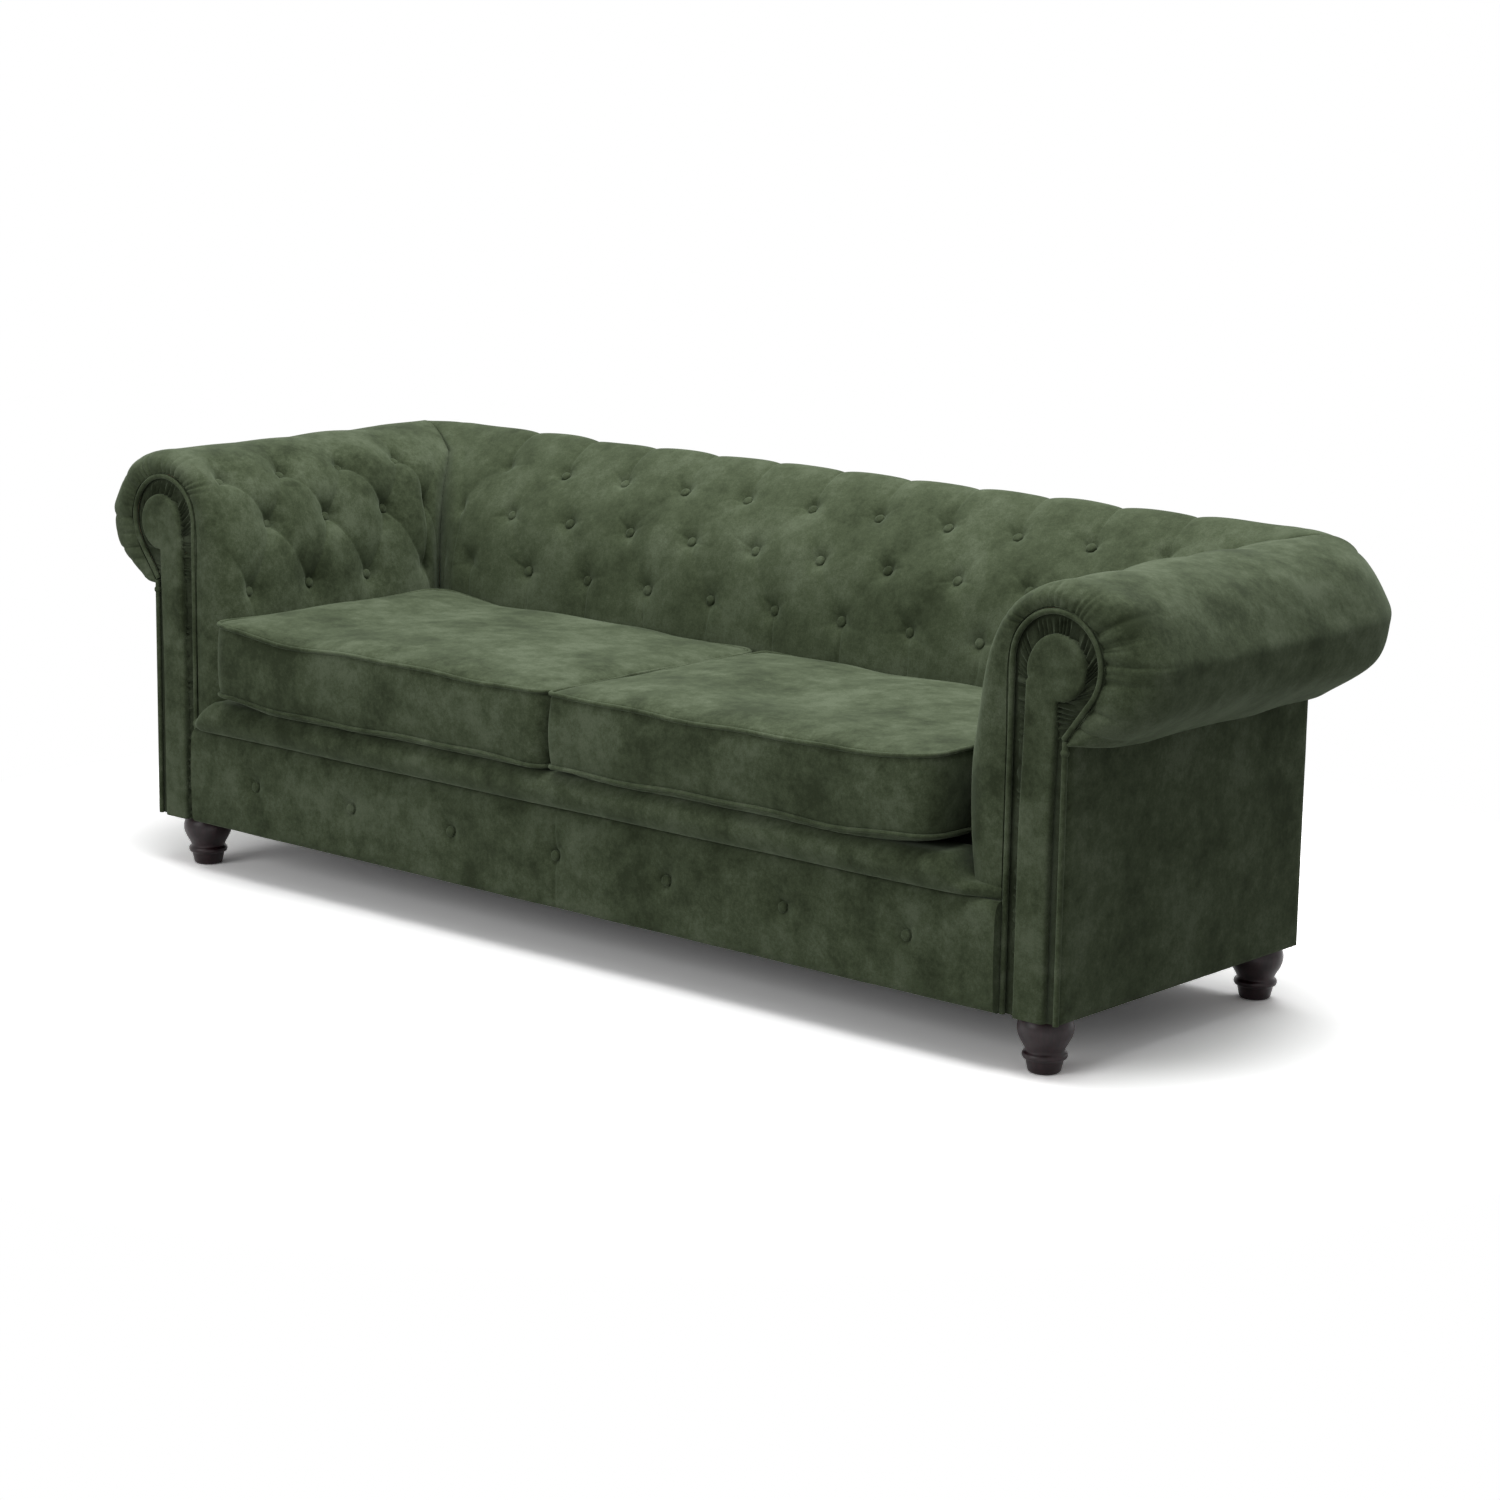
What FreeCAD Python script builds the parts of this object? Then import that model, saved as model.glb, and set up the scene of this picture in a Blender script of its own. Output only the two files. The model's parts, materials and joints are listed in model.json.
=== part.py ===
import FreeCAD, Part
import math
import os

os.makedirs("parts", exist_ok=True)

# A two-seat chesterfield sofa: a timber frame with zigzag springs, foam, tufted covers,
# scrolled arms with a pleated front, two loose piped cushions and four turned feet.
# Millimetres. x runs across the seat, y from front to back, z up from the floor.
# While drawing, y = 0 is the front of the arm facings. At the end everything slides
# along y so that the origin is the centre of the footprint, on the floor.

# Base box
BASE_HALF = 1000.0        # middle to the outer face of a side panel
BASE_DEPTH = 652.0        # front of the facings to the outer back panel
BASE_Z = 92.0             # underside of the base, which is the height of the feet
PANEL_T = 3.5             # covered panel at the sides and the back
DUST_T = 1.2              # cloth under the base
TIMBER = 22.0             # thickness of the rails
FRONT_BOARD_Y = 14.0      # front face of the scroll boards
FRONT_BOARD_T = 20.0
REAR_BOARD_T = 18.0
RAIL_TOP_Z = 262.0        # top of the front and rear rails
LOW_RAIL_H = 90.0         # height of the side and centre rails
BLOCK = 80.0              # side of a corner block
GAP = 0.5                 # ordinary clearance between pieces of the sofa
FOAM_GAP = 1.2            # foam to the cover over it and to the core line under it
BOARD_SHRINK = 4.0        # boards stay this far inside the foam's core line
FIT = 0.3                 # clearance between a loose cushion and what it rests on

# Arm and back pads
ARM_WIDTH = 200.0         # side of the base to the seat-side face of an arm pad
ARM_OVERHANG = 146.0      # how far an arm roll reaches past the side of the base
ROLL_TOP_Z = 747.0        # crest of the rolls
NOTCH_Z = 506.0           # underside of the rolls, where they meet the panels
PAD_BOTTOM_Z = 290.0      # lower edge of the arm and back pads
BACK_THICK = 142.0        # back of the base to the front face of the back pad
BACK_OVERHANG = 138.0     # how far the back roll reaches past the back of the base
CORE_DEPTH = 55.0         # front face of the back pad to the boards behind its foam
HEAD_R = 56.0             # round head of the back boards
HEAD_FROM_REAR = 85.0     # its centre, from the rearmost point of the roll
HEAD_FROM_TOP = 105.0     # its centre, from the crest
CORNER_R = 230.0          # radius at which the rolls turn the rear corners
COVER_T = 34.0            # quilted cover with its wadding
FRONT_ROUND = 97.5        # how far the front end of an arm pad is rounded back
COVER_START = 8.0         # where the arm cover starts, behind the piping

# Scroll front
SCROLL_INSET = 24.0       # side of the base to the centre of the scroll
SCROLL_Z = 625.0
SCROLL_R = 78.0           # centre line of the scroll piping
SCROLL_END = 37.0         # degrees below level where the scroll runs out to the notch
PIPING_R = 4.5
BOARD_EDGE = PIPING_R + 2.0   # the board reaches this far past the piping's centre line
PIPING_Y = 8.0
FACING_INSET = 20.0       # side of the base to the outer edge of the facing's post
FACING_WIDTH = 54.0
FACING_HEAD_R = 50.0
FACING_HEAD_Z = 621.0
FACING_ROUND = 6.0
BAND_Y = 7.0              # front of the pleated band between facing and piping
BAND_GAP = 1.0
STRIP_BACK = 3.0          # the plain strip beside the post lies this far behind the pleats

# Tufting
ARM_FIRST = 70.0          # first button of the low and top rows on an arm
ARM_SPACES = 3            # spaces between the buttons of those rows
ARM_END = 14.0            # last button of those rows to the face of the back pad
ARM_FOLD = 13.0           # depth of the folds between the arm buttons
ARM_SINK = 12.0           # how much deeper a button sits
BACK_FOLD = 5.0
BACK_SINK = 8.0
BACK_END = 28.25          # end of the straight part of the back to the face of an arm pad
BACK_STEPS = 21           # quarters of a button space from the middle to that end
BUTTON_R = 9.0
BUTTON_H = 6.0
BUTTON_SIDES = 8
BORDER_END = 165.5        # end of the front border to its first button
BORDER_BUTTON_Z = 182.0
BORDER_BUTTONS = 7
CORNER_STEPS = 4          # stations round each rear corner

# Seat
DECK_BOTTOM_Z = 293.0
DECK_TOP_Z = 320.0
DECK_COVER_T = 2.0
LIP_FRONT = -30.0
LIP_REAR = 58.0
BORDER_FRONT = -9.0
BORDER_ROUND = 6.0
SPRINGS = 11
SPRING_END = 50.0         # last spring to the face of an arm pad
SPRING_HALF = 20.0        # half the width of a zigzag
SPRING_WIRE = 3.5
SPRING_BENDS = 7

# Loose cushions
CUSHION_INNER = 2.0       # middle of the sofa to a cushion's side
CUSHION_SIDE = 9.0        # a cushion's side to the arm pad
CUSHION_FRONT = -38.0
CUSHION_BACK = 7.0        # a cushion's rear to the back pad
CUSHION_SEAM_IN = 8.0     # the seams lie this far inside the widest line
CUSHION_LOW_SEAM_Z = 336.0
CUSHION_TOP_SEAM_Z = 456.0
CUSHION_CROWN = 22.0
CUSHION_CORNER = 46.0
CORNER_FACETS = 3
SIDE_BOW = 3.0            # how far the sides are drawn in halfway along
CUSHION_SKIN = 2.5
CUSHION_PIPING_R = 3.5
ZIP_END = 134.0           # end of a zip to the side of its cushion
ZIP_WIDTH = 14.0

# Feet
FOOT_INSET = 63.0         # outer side panel to a foot's axis
FOOT_FRONT_Y = 65.0
FOOT_REAR_INSET = 22.0
FOOT_TOP_R = 36.0
FOOT_BULB_R = 43.0
FOOT_NECK_R = 29.0
FOOT_BEAD_R = 34.0
FOOT_BASE_R = 24.0
FOOT_SIDES = 16
BOLT_R = 4.0
ROD_SIDES = 8
BOLT_IN_FOOT = 40.0
BOLT_IN_BLOCK = 60.0

# Derived places
ARM_INNER = BASE_HALF - ARM_WIDTH
ROLL_OUTER = BASE_HALF + ARM_OVERHANG
BACK_FACE = BASE_DEPTH - BACK_THICK
ROLL_REAR = BASE_DEPTH + BACK_OVERHANG
SCROLL_X = BASE_HALF - SCROLL_INSET
FACING_OUT = BASE_HALF - FACING_INSET
FACING_IN = FACING_OUT - FACING_WIDTH
ARM_LAST = BACK_FACE - ARM_END
ARM_PITCH = (ARM_LAST - ARM_FIRST) / ARM_SPACES
BACK_PITCH = (ARM_INNER - BACK_END) * 4 / BACK_STEPS
SPRING_PITCH = 2 * (ARM_INNER - SPRING_END) / (SPRINGS - 1)
CUSHION_OUTER = ARM_INNER - CUSHION_SIDE
CUSHION_REAR = BACK_FACE - CUSHION_BACK
FOOT_REAR_Y = BASE_DEPTH - FOOT_REAR_INSET
PANEL_IN = BASE_HALF - PANEL_T
SIDE_OUT = PANEL_IN - GAP
SIDE_IN = SIDE_OUT - TIMBER
BACK_IN = BASE_DEPTH - PANEL_T
BACK_OUT_TIMBER = BACK_IN - GAP
BOARD_REAR_Y = FRONT_BOARD_Y + FRONT_BOARD_T
BOARD_INNER = SCROLL_X - SCROLL_R - BOARD_EDGE
BOARD_R = SCROLL_R + BOARD_EDGE
FRAME_Z = BASE_Z + DUST_T
REAR_BOARD_Y = ARM_LAST - REAR_BOARD_T
FOOT_X = BASE_HALF - FOOT_INSET
# The rolls turn the rear corners about this upright axis.
AXIS_X = ROLL_OUTER - CORNER_R
AXIS_Y = ROLL_REAR - CORNER_R

V = FreeCAD.Vector
Z_AXIS = V(0, 0, 1)
PARTS = {}


def lerp(a, b, t):
    return a + (b - a) * t


def mirrored(shape):
    return shape.mirror(V(0, 0, 0), V(1, 0, 0))


def box(x0, x1, y0, y1, z0, z1):
    return Part.makeBox(x1 - x0, y1 - y0, z1 - z0, V(x0, y0, z0))


def keep(name, shape):
    PARTS[name] = shape


def keep_pair(name, shape):
    keep(name + "_right", shape)
    keep(name + "_left", mirrored(shape))


def group(shapes):
    return Part.makeCompound(shapes)


def both_sides(shapes):
    return group(list(shapes) + [mirrored(shape) for shape in shapes])


def prism(points, along):
    """Closed outline of points, pushed along a vector."""
    return Part.Face(Part.makePolygon(points + [points[0]])).extrude(along)


def smooth_line(keys, counts):
    """Points of a smooth line through the keys, with so many steps in each span."""
    line = []
    for n, count in enumerate(counts):
        a = keys[max(n - 1, 0)]
        b = keys[n]
        c = keys[n + 1]
        d = keys[min(n + 2, len(keys) - 1)]
        for step in range(count):
            t = step / count
            line.append(tuple(
                b[k] + 0.5 * t * (c[k] - a[k] + t * (2 * a[k] - 5 * b[k] + 4 * c[k] - d[k]
                                  + t * (3 * (b[k] - c[k]) + d[k] - a[k])))
                for k in (0, 1)))
    line.append(keys[-1])
    return line


def folded_sides(rings, closed):
    """Points and triangles between rings of points. Each quarter folds along its lower diagonal."""
    points = [p for ring_points in rings for p in ring_points]
    width = len(rings[0])
    triangles = []
    for i in range(len(rings) if closed else len(rings) - 1):
        here = i * width
        there = (i + 1) % len(rings) * width
        middle = sum(rings[i], V(0, 0, 0)) * (1.0 / width)
        for j in range(width):
            k = (j + 1) % width
            a, b, c, d = here + j, here + k, there + k, there + j
            low = (points[a] - middle).Length + (points[c] - middle).Length
            high = (points[b] - middle).Length + (points[d] - middle).Length
            if low > high:
                triangles.extend([(a, b, d), (b, c, d)])
            else:
                triangles.extend([(a, b, c), (a, c, d)])
    return points, triangles


def solid_of(points, triangles):
    shell = Part.Shape()
    shell.makeShapeFromMesh((points, triangles), 0.001)
    solid = Part.makeSolid(shell)
    if solid.Volume < 0:
        solid.reverse()
    return solid


def band_solid(outer, inner):
    """Solid between two grids of points, outer[i][j] and inner[i][j]."""
    rings = [line_out + line_in[::-1] for line_out, line_in in zip(outer, inner)]
    points, triangles = folded_sides(rings, False)
    width = len(rings[0])
    last = (len(rings) - 1) * width
    for j in range(width // 2 - 1):
        a, b, c, d = j, j + 1, width - 2 - j, width - 1 - j
        triangles.extend([(a, d, c), (a, c, b)])
        triangles.extend([(last + a, last + b, last + c), (last + a, last + c, last + d)])
    return solid_of(points, triangles)


def tube(path, radius, across, closed=False):
    """Round cord in flat facets through the points of a path that lies square to across."""
    circles = []
    for n, here in enumerate(path):
        before = path[n - 1] if n or closed else here
        after = path[(n + 1) % len(path)] if n < len(path) - 1 or closed else here
        along = after - before
        along.normalize()
        side = along.cross(across)
        circles.append([here + side * (radius * math.cos(math.radians(60 * k)))
                        + across * (radius * math.sin(math.radians(60 * k))) for k in range(6)])
    points, triangles = folded_sides(circles, closed)
    if not closed:
        last = len(points) - 6
        for k in range(1, 5):
            triangles.extend([(0, k + 1, k), (last, last + k, last + k + 1)])
    return solid_of(points, triangles)


# Outlines of the padded section as (across, up) fractions: across from the seat face to
# the outermost point of the roll, and up from the notch to the crest. The first two
# points are on the upright face below, which the next function adds.
ARM_SHAPE = [(0.023, 0.02), (0.098, 0.50), (0.246, 0.855), (0.52, 1.0), (0.818, 0.897),
             (0.982, 0.60), (1.0, 0.455), (0.95, 0.23), (0.76, 0.035), (0.697, 0.0)]
BACK_SHAPE = [(0.043, 0.07), (0.16, 0.463), (0.40, 0.78), (0.68, 1.0), (0.882, 0.897),
              (0.989, 0.65), (1.0, 0.49), (0.946, 0.265), (0.74, 0.06), (0.643, 0.0)]
ROW_KEYS = range(2, 5)    # keys of the section that carry the rows of buttons
KEY_STEPS = [1, 2, 2, 2, 2, 2, 1, 1, 1, 1, 1, 1]
FACE_MID_Z = 400.0


def section(face, outermost, shape, end):
    """Outer line of a pad section as (distance, height) points."""
    keys = [(face, PAD_BOTTOM_Z), (face, FACE_MID_Z)]
    keys += [(lerp(face, outermost, u), lerp(NOTCH_Z, ROLL_TOP_Z, v)) for u, v in shape]
    keys.append((end, NOTCH_Z))
    return smooth_line(keys, KEY_STEPS)


def ring_point(degrees):
    angle = math.radians(degrees)
    return (SCROLL_X + BOARD_R * math.cos(angle), SCROLL_Z + BOARD_R * math.sin(angle))


def scroll_foot(radius):
    """Where the scroll's straight tail meets the outer edge of the board."""
    angle = math.radians(-SCROLL_END)
    start = (SCROLL_X + radius * math.cos(angle), SCROLL_Z + radius * math.sin(angle))
    edge = SIDE_OUT - (BOARD_R - radius)
    fall = (start[0] - edge) * math.cos(angle) / -math.sin(angle)
    return start, (edge, start[1] - fall)


# Core lines: what the boards carry, inside the foam.
TAIL_START, TAIL_END = scroll_foot(BOARD_R)
ARM_CORE = smooth_line(
    [(BOARD_INNER, PAD_BOTTOM_Z), (BOARD_INNER, FACE_MID_Z), (BOARD_INNER, NOTCH_Z),
     ring_point(172), ring_point(128), ring_point(90), ring_point(45), ring_point(12),
     ring_point(-5), TAIL_START,
     (lerp(TAIL_START[0], TAIL_END[0], 0.6), lerp(TAIL_START[1], TAIL_END[1], 0.6)),
     (lerp(TAIL_START[0], TAIL_END[0], 0.85), lerp(TAIL_START[1], TAIL_END[1], 0.85)),
     TAIL_END], KEY_STEPS)
BACK_CORE_FRONT = BACK_FACE + CORE_DEPTH
BACK_HEAD_Y = ROLL_REAR - HEAD_FROM_REAR
BACK_HEAD_Z = ROLL_TOP_Z - HEAD_FROM_TOP


def head_point(degrees):
    angle = math.radians(degrees)
    return (BACK_HEAD_Y + HEAD_R * math.cos(angle), BACK_HEAD_Z + HEAD_R * math.sin(angle))


BACK_TAIL_Z = NOTCH_Z + 12.0
BACK_CORE = smooth_line(
    [(BACK_CORE_FRONT, PAD_BOTTOM_Z), (BACK_CORE_FRONT, FACE_MID_Z),
     (BACK_CORE_FRONT + 14.0, NOTCH_Z), (BACK_CORE_FRONT + 48.0, NOTCH_Z + 90.0),
     head_point(140), head_point(90), head_point(50), head_point(15), head_point(-5),
     head_point(-40), (lerp(head_point(-40)[0], BACK_OUT_TIMBER, 0.6), NOTCH_Z + 40.0),
     (lerp(head_point(-40)[0], BACK_OUT_TIMBER, 0.85), NOTCH_Z + 22.0),
     (BACK_OUT_TIMBER, BACK_TAIL_Z)], KEY_STEPS)
ARM_LINE = section(ARM_INNER, ROLL_OUTER, ARM_SHAPE, SIDE_OUT + GAP)
BACK_LINE = section(BACK_FACE, ROLL_REAR, BACK_SHAPE, BACK_OUT_TIMBER + GAP)
NODES = len(ARM_LINE)


def node_of_key(key):
    return sum(KEY_STEPS[:key])


ROW_NODES = [node_of_key(key) for key in ROW_KEYS]


def corner_share(node):
    """0 where the rear corner is a mitred crease, 1 where the roll turns it round."""
    inner = node_of_key(4)
    outer = node_of_key(6)
    return min(max((node - inner) / (outer - inner), 0.0), 1.0)


def row_place(node):
    """Height of a node counted in rows of buttons, below 0 or above 2 off the rows."""
    low, mid, top = ROW_NODES
    if node <= mid:
        return (node - low) / (mid - low)
    return 1.0 + (node - mid) / (top - mid)


def tuft_depth(u, v, fold, sink):
    """Depth of the tufting at u half pitches along and v rows up."""
    if v < 0.0:
        hill = abs(math.sin(math.pi * u / 2)) ** 1.4
        fade = max(1.0 + v / 4.0, 0.3)
        near = u - 2 * round(u / 2)
        reach = math.hypot(near, v)
    elif v > 2.0:
        hill = abs(math.sin(math.pi * u / 2)) ** 1.4
        fade = max(1.0 - (v - 2.0) / 3.0, 0.0)
        near = u - 2 * round(u / 2)
        reach = math.hypot(near, v - 2.0)
    else:
        a = (u + v) / 2
        b = (u - v) / 2
        hill = (abs(math.sin(math.pi * a)) * abs(math.sin(math.pi * b))) ** 0.7
        fade = 1.0
        a = (a - round(a))
        b = (b - round(b))
        reach = math.hypot(a + b, a - b)
    return fade * fold * (1.0 - hill) + sink * math.exp(-(reach / 0.35) ** 2)


def cover_share(core, skin):
    """Fraction of the way from core to skin where the quilted cover begins."""
    thick = math.hypot(skin[0] - core[0], skin[1] - core[1])
    return max(1.0 - COVER_T / thick, 0.4)


def layer_point(core, skin, share, depth):
    """Point at a share of the way from core to skin, drawn in by depth at the skin."""
    thick = math.hypot(skin[0] - core[0], skin[1] - core[1])
    share -= depth / thick
    return (lerp(core[0], skin[0], share), lerp(core[1], skin[1], share))


def share_of(layer, core, skin):
    start = cover_share(core, skin)
    space = FOAM_GAP / math.hypot(skin[0] - core[0], skin[1] - core[1])
    if layer == "skin":
        return 1.0
    if layer == "cover back":
        return start
    if layer == "foam front":
        return start - space
    return space


def arm_stations():
    """Distances along an arm, from its front end to the start of the corner."""
    count = ARM_SPACES * 4
    quarter = ARM_PITCH / 4
    front = [COVER_START, lerp(COVER_START, ARM_FIRST, 0.1), ARM_FIRST - quarter]
    return front + [ARM_FIRST + quarter * n for n in range(count + 1)]


def rounding(y):
    """How full the front end of the arm is at y, from 0 to 1."""
    t = min((y - COVER_START) / FRONT_ROUND, 1.0)
    return math.sqrt(1.0 - (1.0 - t) ** 2)


START_SHARE = {"skin": 0.1, "cover back": 0.02, "foam front": 0.015, "foam back": 0.01}


def arm_point(y, node, layer):
    core = ARM_CORE[node]
    skin = ARM_LINE[node]
    full = share_of(layer, core, skin)
    share = lerp(START_SHARE[layer], full, rounding(y))
    depth = 0.0
    if layer == "skin":
        u = (y - ARM_FIRST) / (ARM_PITCH / 2)
        depth = tuft_depth(u, row_place(node), ARM_FOLD, ARM_SINK) * rounding(y) ** 2
        depth *= max(1.0 - corner_share(node), 0.0)
    x, z = layer_point(core, skin, share, depth)
    return V(x, y, z)


def back_point(x, node, layer):
    core = BACK_CORE[node]
    skin = BACK_LINE[node]
    depth = 0.0
    if layer == "skin":
        u = x / (BACK_PITCH / 2)
        depth = tuft_depth(u, row_place(node), BACK_FOLD, BACK_SINK)
        depth *= 1.0 - 0.8 * corner_share(node)
    y, z = layer_point(core, skin, share_of(layer, core, skin), depth)
    return V(x, y, z)


def corner_point(step, node, layer, from_arm):
    """Point of a rear corner, step of CORNER_STEPS on the way to the mitre."""
    t = step / CORNER_STEPS
    g = corner_share(node)
    arm = layer_point(ARM_CORE[node], ARM_LINE[node],
                      share_of(layer, ARM_CORE[node], ARM_LINE[node]), 0.0)
    back = layer_point(BACK_CORE[node], BACK_LINE[node],
                       share_of(layer, BACK_CORE[node], BACK_LINE[node]), 0.0)
    across = arm[0] - AXIS_X
    deep = back[0] - AXIS_Y
    z_mid = (arm[1] + back[1]) / 2
    r_mid = (across + deep) / 2
    if from_arm:
        start = ARM_LAST - AXIS_Y
        own, other, z_own = across, deep, arm[1]
    else:
        start = BACK_STEPS * BACK_PITCH / 4 - AXIS_X
        own, other, z_own = deep, across, back[1]
    # Straight on to the crease, on the seat side.
    crease = (own, lerp(start, other, t))
    # Round the axis, on the outside: straight to the axis, then an arc.
    arc = abs(r_mid) * math.pi / 4
    run = t * (arc - start)
    if run < -start:
        turn = (own, start + run)
    else:
        angle = (run + start) / arc * math.pi / 4
        radius = lerp(own, r_mid, angle / (math.pi / 4))
        turn = (radius * math.cos(angle), radius * math.sin(angle))
    a = lerp(crease[0], turn[0], g)
    b = lerp(crease[1], turn[1], g)
    z = lerp(z_own, z_mid, t)
    if from_arm:
        return V(AXIS_X + a, AXIS_Y + b, z)
    return V(AXIS_X + b, AXIS_Y + a, z)


def arm_grid(layer, stations):
    grid = [[arm_point(y, node, layer) for node in range(NODES)] for y in stations]
    grid += [[corner_point(step, node, layer, True) for node in range(NODES)]
             for step in range(1, CORNER_STEPS + 1)]
    return grid


def back_grid(layer, quarters):
    half = [[back_point(n * BACK_PITCH / 4, node, layer) for node in range(NODES)] for n in quarters]
    half += [[corner_point(step, node, layer, False) for node in range(NODES)]
             for step in range(1, CORNER_STEPS + 1)]
    other = [[V(-p.x, p.y, p.z) for p in line] for line in half[::-1]]
    if quarters[0] == 0:
        other.pop()
    return other + half


def normal_at(line, node):
    """Unit vector out of the padding at a node of a section."""
    a = line[node - 1]
    b = line[node + 1]
    across = b[0] - a[0]
    up = b[1] - a[1]
    length = math.hypot(across, up)
    return (-up / length, across / length)


def ring(radius, z, sides):
    """Corners of a level polygon with so many sides."""
    turns = [2 * math.pi * n / sides for n in range(sides)]
    return [V(radius * math.cos(turn), radius * math.sin(turn), z) for turn in turns]


def stack(rings):
    """Solid through level polygons with the same number of corners, from the lowest up."""
    points, triangles = folded_sides(rings, False)
    width = len(rings[0])
    last = len(points) - width
    for k in range(1, width - 1):
        triangles.extend([(0, k + 1, k), (last, last + k, last + k + 1)])
    return solid_of(points, triangles)


def rod(radius, z0, z1, place):
    """Upright round rod in flat facets."""
    return prism(ring(radius, z0, ROD_SIDES), V(0, 0, z1 - z0)).translated(place)


def button(place, out):
    """Covered button: a low dome of flat facets, facing along out."""
    solid = stack([ring(BUTTON_R, 0, BUTTON_SIDES), ring(BUTTON_R * 0.6, BUTTON_H, BUTTON_SIDES)])
    solid.Placement = FreeCAD.Placement(place, FreeCAD.Rotation(Z_AXIS, out))
    return solid


def section_buttons(line, core, row, fold, sink):
    """Place and direction of a button on a row: distance, height and the normal."""
    node = ROW_NODES[row]
    depth = fold + sink - BUTTON_H * 0.2
    place = layer_point(core[node], line[node], 1.0, depth)
    return place, normal_at(line, node)


def make_arm_upholstery():
    stations = arm_stations()
    cover = band_solid(arm_grid("skin", stations), arm_grid("cover back", stations))
    few = [y for y in stations[2:] if rounding(y) < 1.0] + [COVER_START + FRONT_ROUND, ARM_LAST]
    foam = band_solid(arm_grid("foam front", few), arm_grid("foam back", few))
    keep_pair("arm_cover", cover)
    keep_pair("arm_foam", foam)
    buttons = []
    for row in range(3):
        place, out = section_buttons(ARM_LINE, ARM_CORE, row, ARM_FOLD, ARM_SINK)
        y = ARM_FIRST + (ARM_PITCH / 2 if row == 1 else 0.0)
        while y < ARM_LAST - ARM_PITCH / 4:
            full = rounding(y)
            core = ARM_CORE[ROW_NODES[row]]
            x = lerp(core[0], place[0], full)
            z = lerp(core[1], place[1], full)
            buttons.append(button(V(x, y, z), V(out[0], 0, out[1])))
            y += ARM_PITCH
    keep_pair("arm_buttons", group(buttons))


def make_back_upholstery():
    every = range(BACK_STEPS + 1)
    keep("back_cover", band_solid(back_grid("skin", every), back_grid("cover back", every)))
    ends = [BACK_STEPS]
    keep("back_foam", band_solid(back_grid("foam front", ends), back_grid("foam back", ends)))
    limit = BACK_STEPS * BACK_PITCH / 4
    buttons = []
    for row in range(3):
        (y, z), out = section_buttons(BACK_LINE, BACK_CORE, row, BACK_FOLD, BACK_SINK)
        x = 0.0 if row != 1 else BACK_PITCH / 2
        while x < limit:
            spots = [x] if x == 0.0 else [-x, x]
            buttons += [button(V(spot, y, z), V(0, out[0], out[1])) for spot in spots]
            x += BACK_PITCH
    keep("back_buttons", group(buttons))


def scroll_outline(inset, bottom):
    """Keyhole outline of the scroll board, drawn in by inset."""
    radius = BOARD_R - inset
    inner = BOARD_INNER + inset
    start, end = scroll_foot(radius)
    top = V(SCROLL_X, 0, SCROLL_Z + radius)
    left = V(inner, 0, SCROLL_Z)
    side = math.radians(135)
    over = V(SCROLL_X + radius * math.cos(side), 0, SCROLL_Z + radius * math.sin(side))
    half = math.radians((90 - SCROLL_END) / 2)
    down = V(SCROLL_X + radius * math.cos(half), 0, SCROLL_Z + radius * math.sin(half))
    tail = V(start[0], 0, start[1])
    foot = V(end[0], 0, end[1])
    return Part.Wire([
        Part.LineSegment(V(inner, 0, bottom), left).toShape(),
        Part.Arc(left, over, top).toShape(),
        Part.Arc(top, down, tail).toShape(),
        Part.LineSegment(tail, foot).toShape(),
        Part.LineSegment(foot, V(end[0], 0, bottom)).toShape(),
        Part.LineSegment(V(end[0], 0, bottom), V(inner, 0, bottom)).toShape()])


def facing_outline(grow, bottom):
    """Outline of the raised facing: a post with a round head leaning outwards."""
    radius = FACING_HEAD_R + grow
    inner = FACING_IN - grow
    outer = FACING_OUT + grow
    head_x = FACING_OUT
    left = V(inner, 0, FACING_HEAD_Z - FACING_HEAD_R * 0.4)
    top = V(head_x, 0, FACING_HEAD_Z + radius)
    right = V(head_x + radius, 0, FACING_HEAD_Z)
    slope = math.radians(-42)
    under = V(head_x + radius * math.cos(slope), 0, FACING_HEAD_Z + radius * math.sin(slope))
    low_angle = math.radians(-80)
    low = V(head_x + radius * math.cos(low_angle), 0, FACING_HEAD_Z + radius * math.sin(low_angle))
    side = math.radians(142)
    over = V(head_x + radius * math.cos(side), 0, FACING_HEAD_Z + radius * math.sin(side))
    return Part.Wire([
        Part.LineSegment(V(inner, 0, bottom), left).toShape(),
        Part.Arc(left, over, top).toShape(),
        Part.Arc(top, V(head_x + radius * math.cos(math.pi / 4), 0,
                        FACING_HEAD_Z + radius * math.sin(math.pi / 4)), right).toShape(),
        Part.Arc(right, under, low).toShape(),
        Part.LineSegment(low, V(outer, 0, low.z)).toShape(),
        Part.LineSegment(V(outer, 0, low.z), V(outer, 0, bottom)).toShape(),
        Part.LineSegment(V(outer, 0, bottom), V(inner, 0, bottom)).toShape()])


def plate(outline, y0, y1):
    return Part.Face(outline).extrude(V(0, y1 - y0, 0)).translated(V(0, y0, 0))


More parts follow.
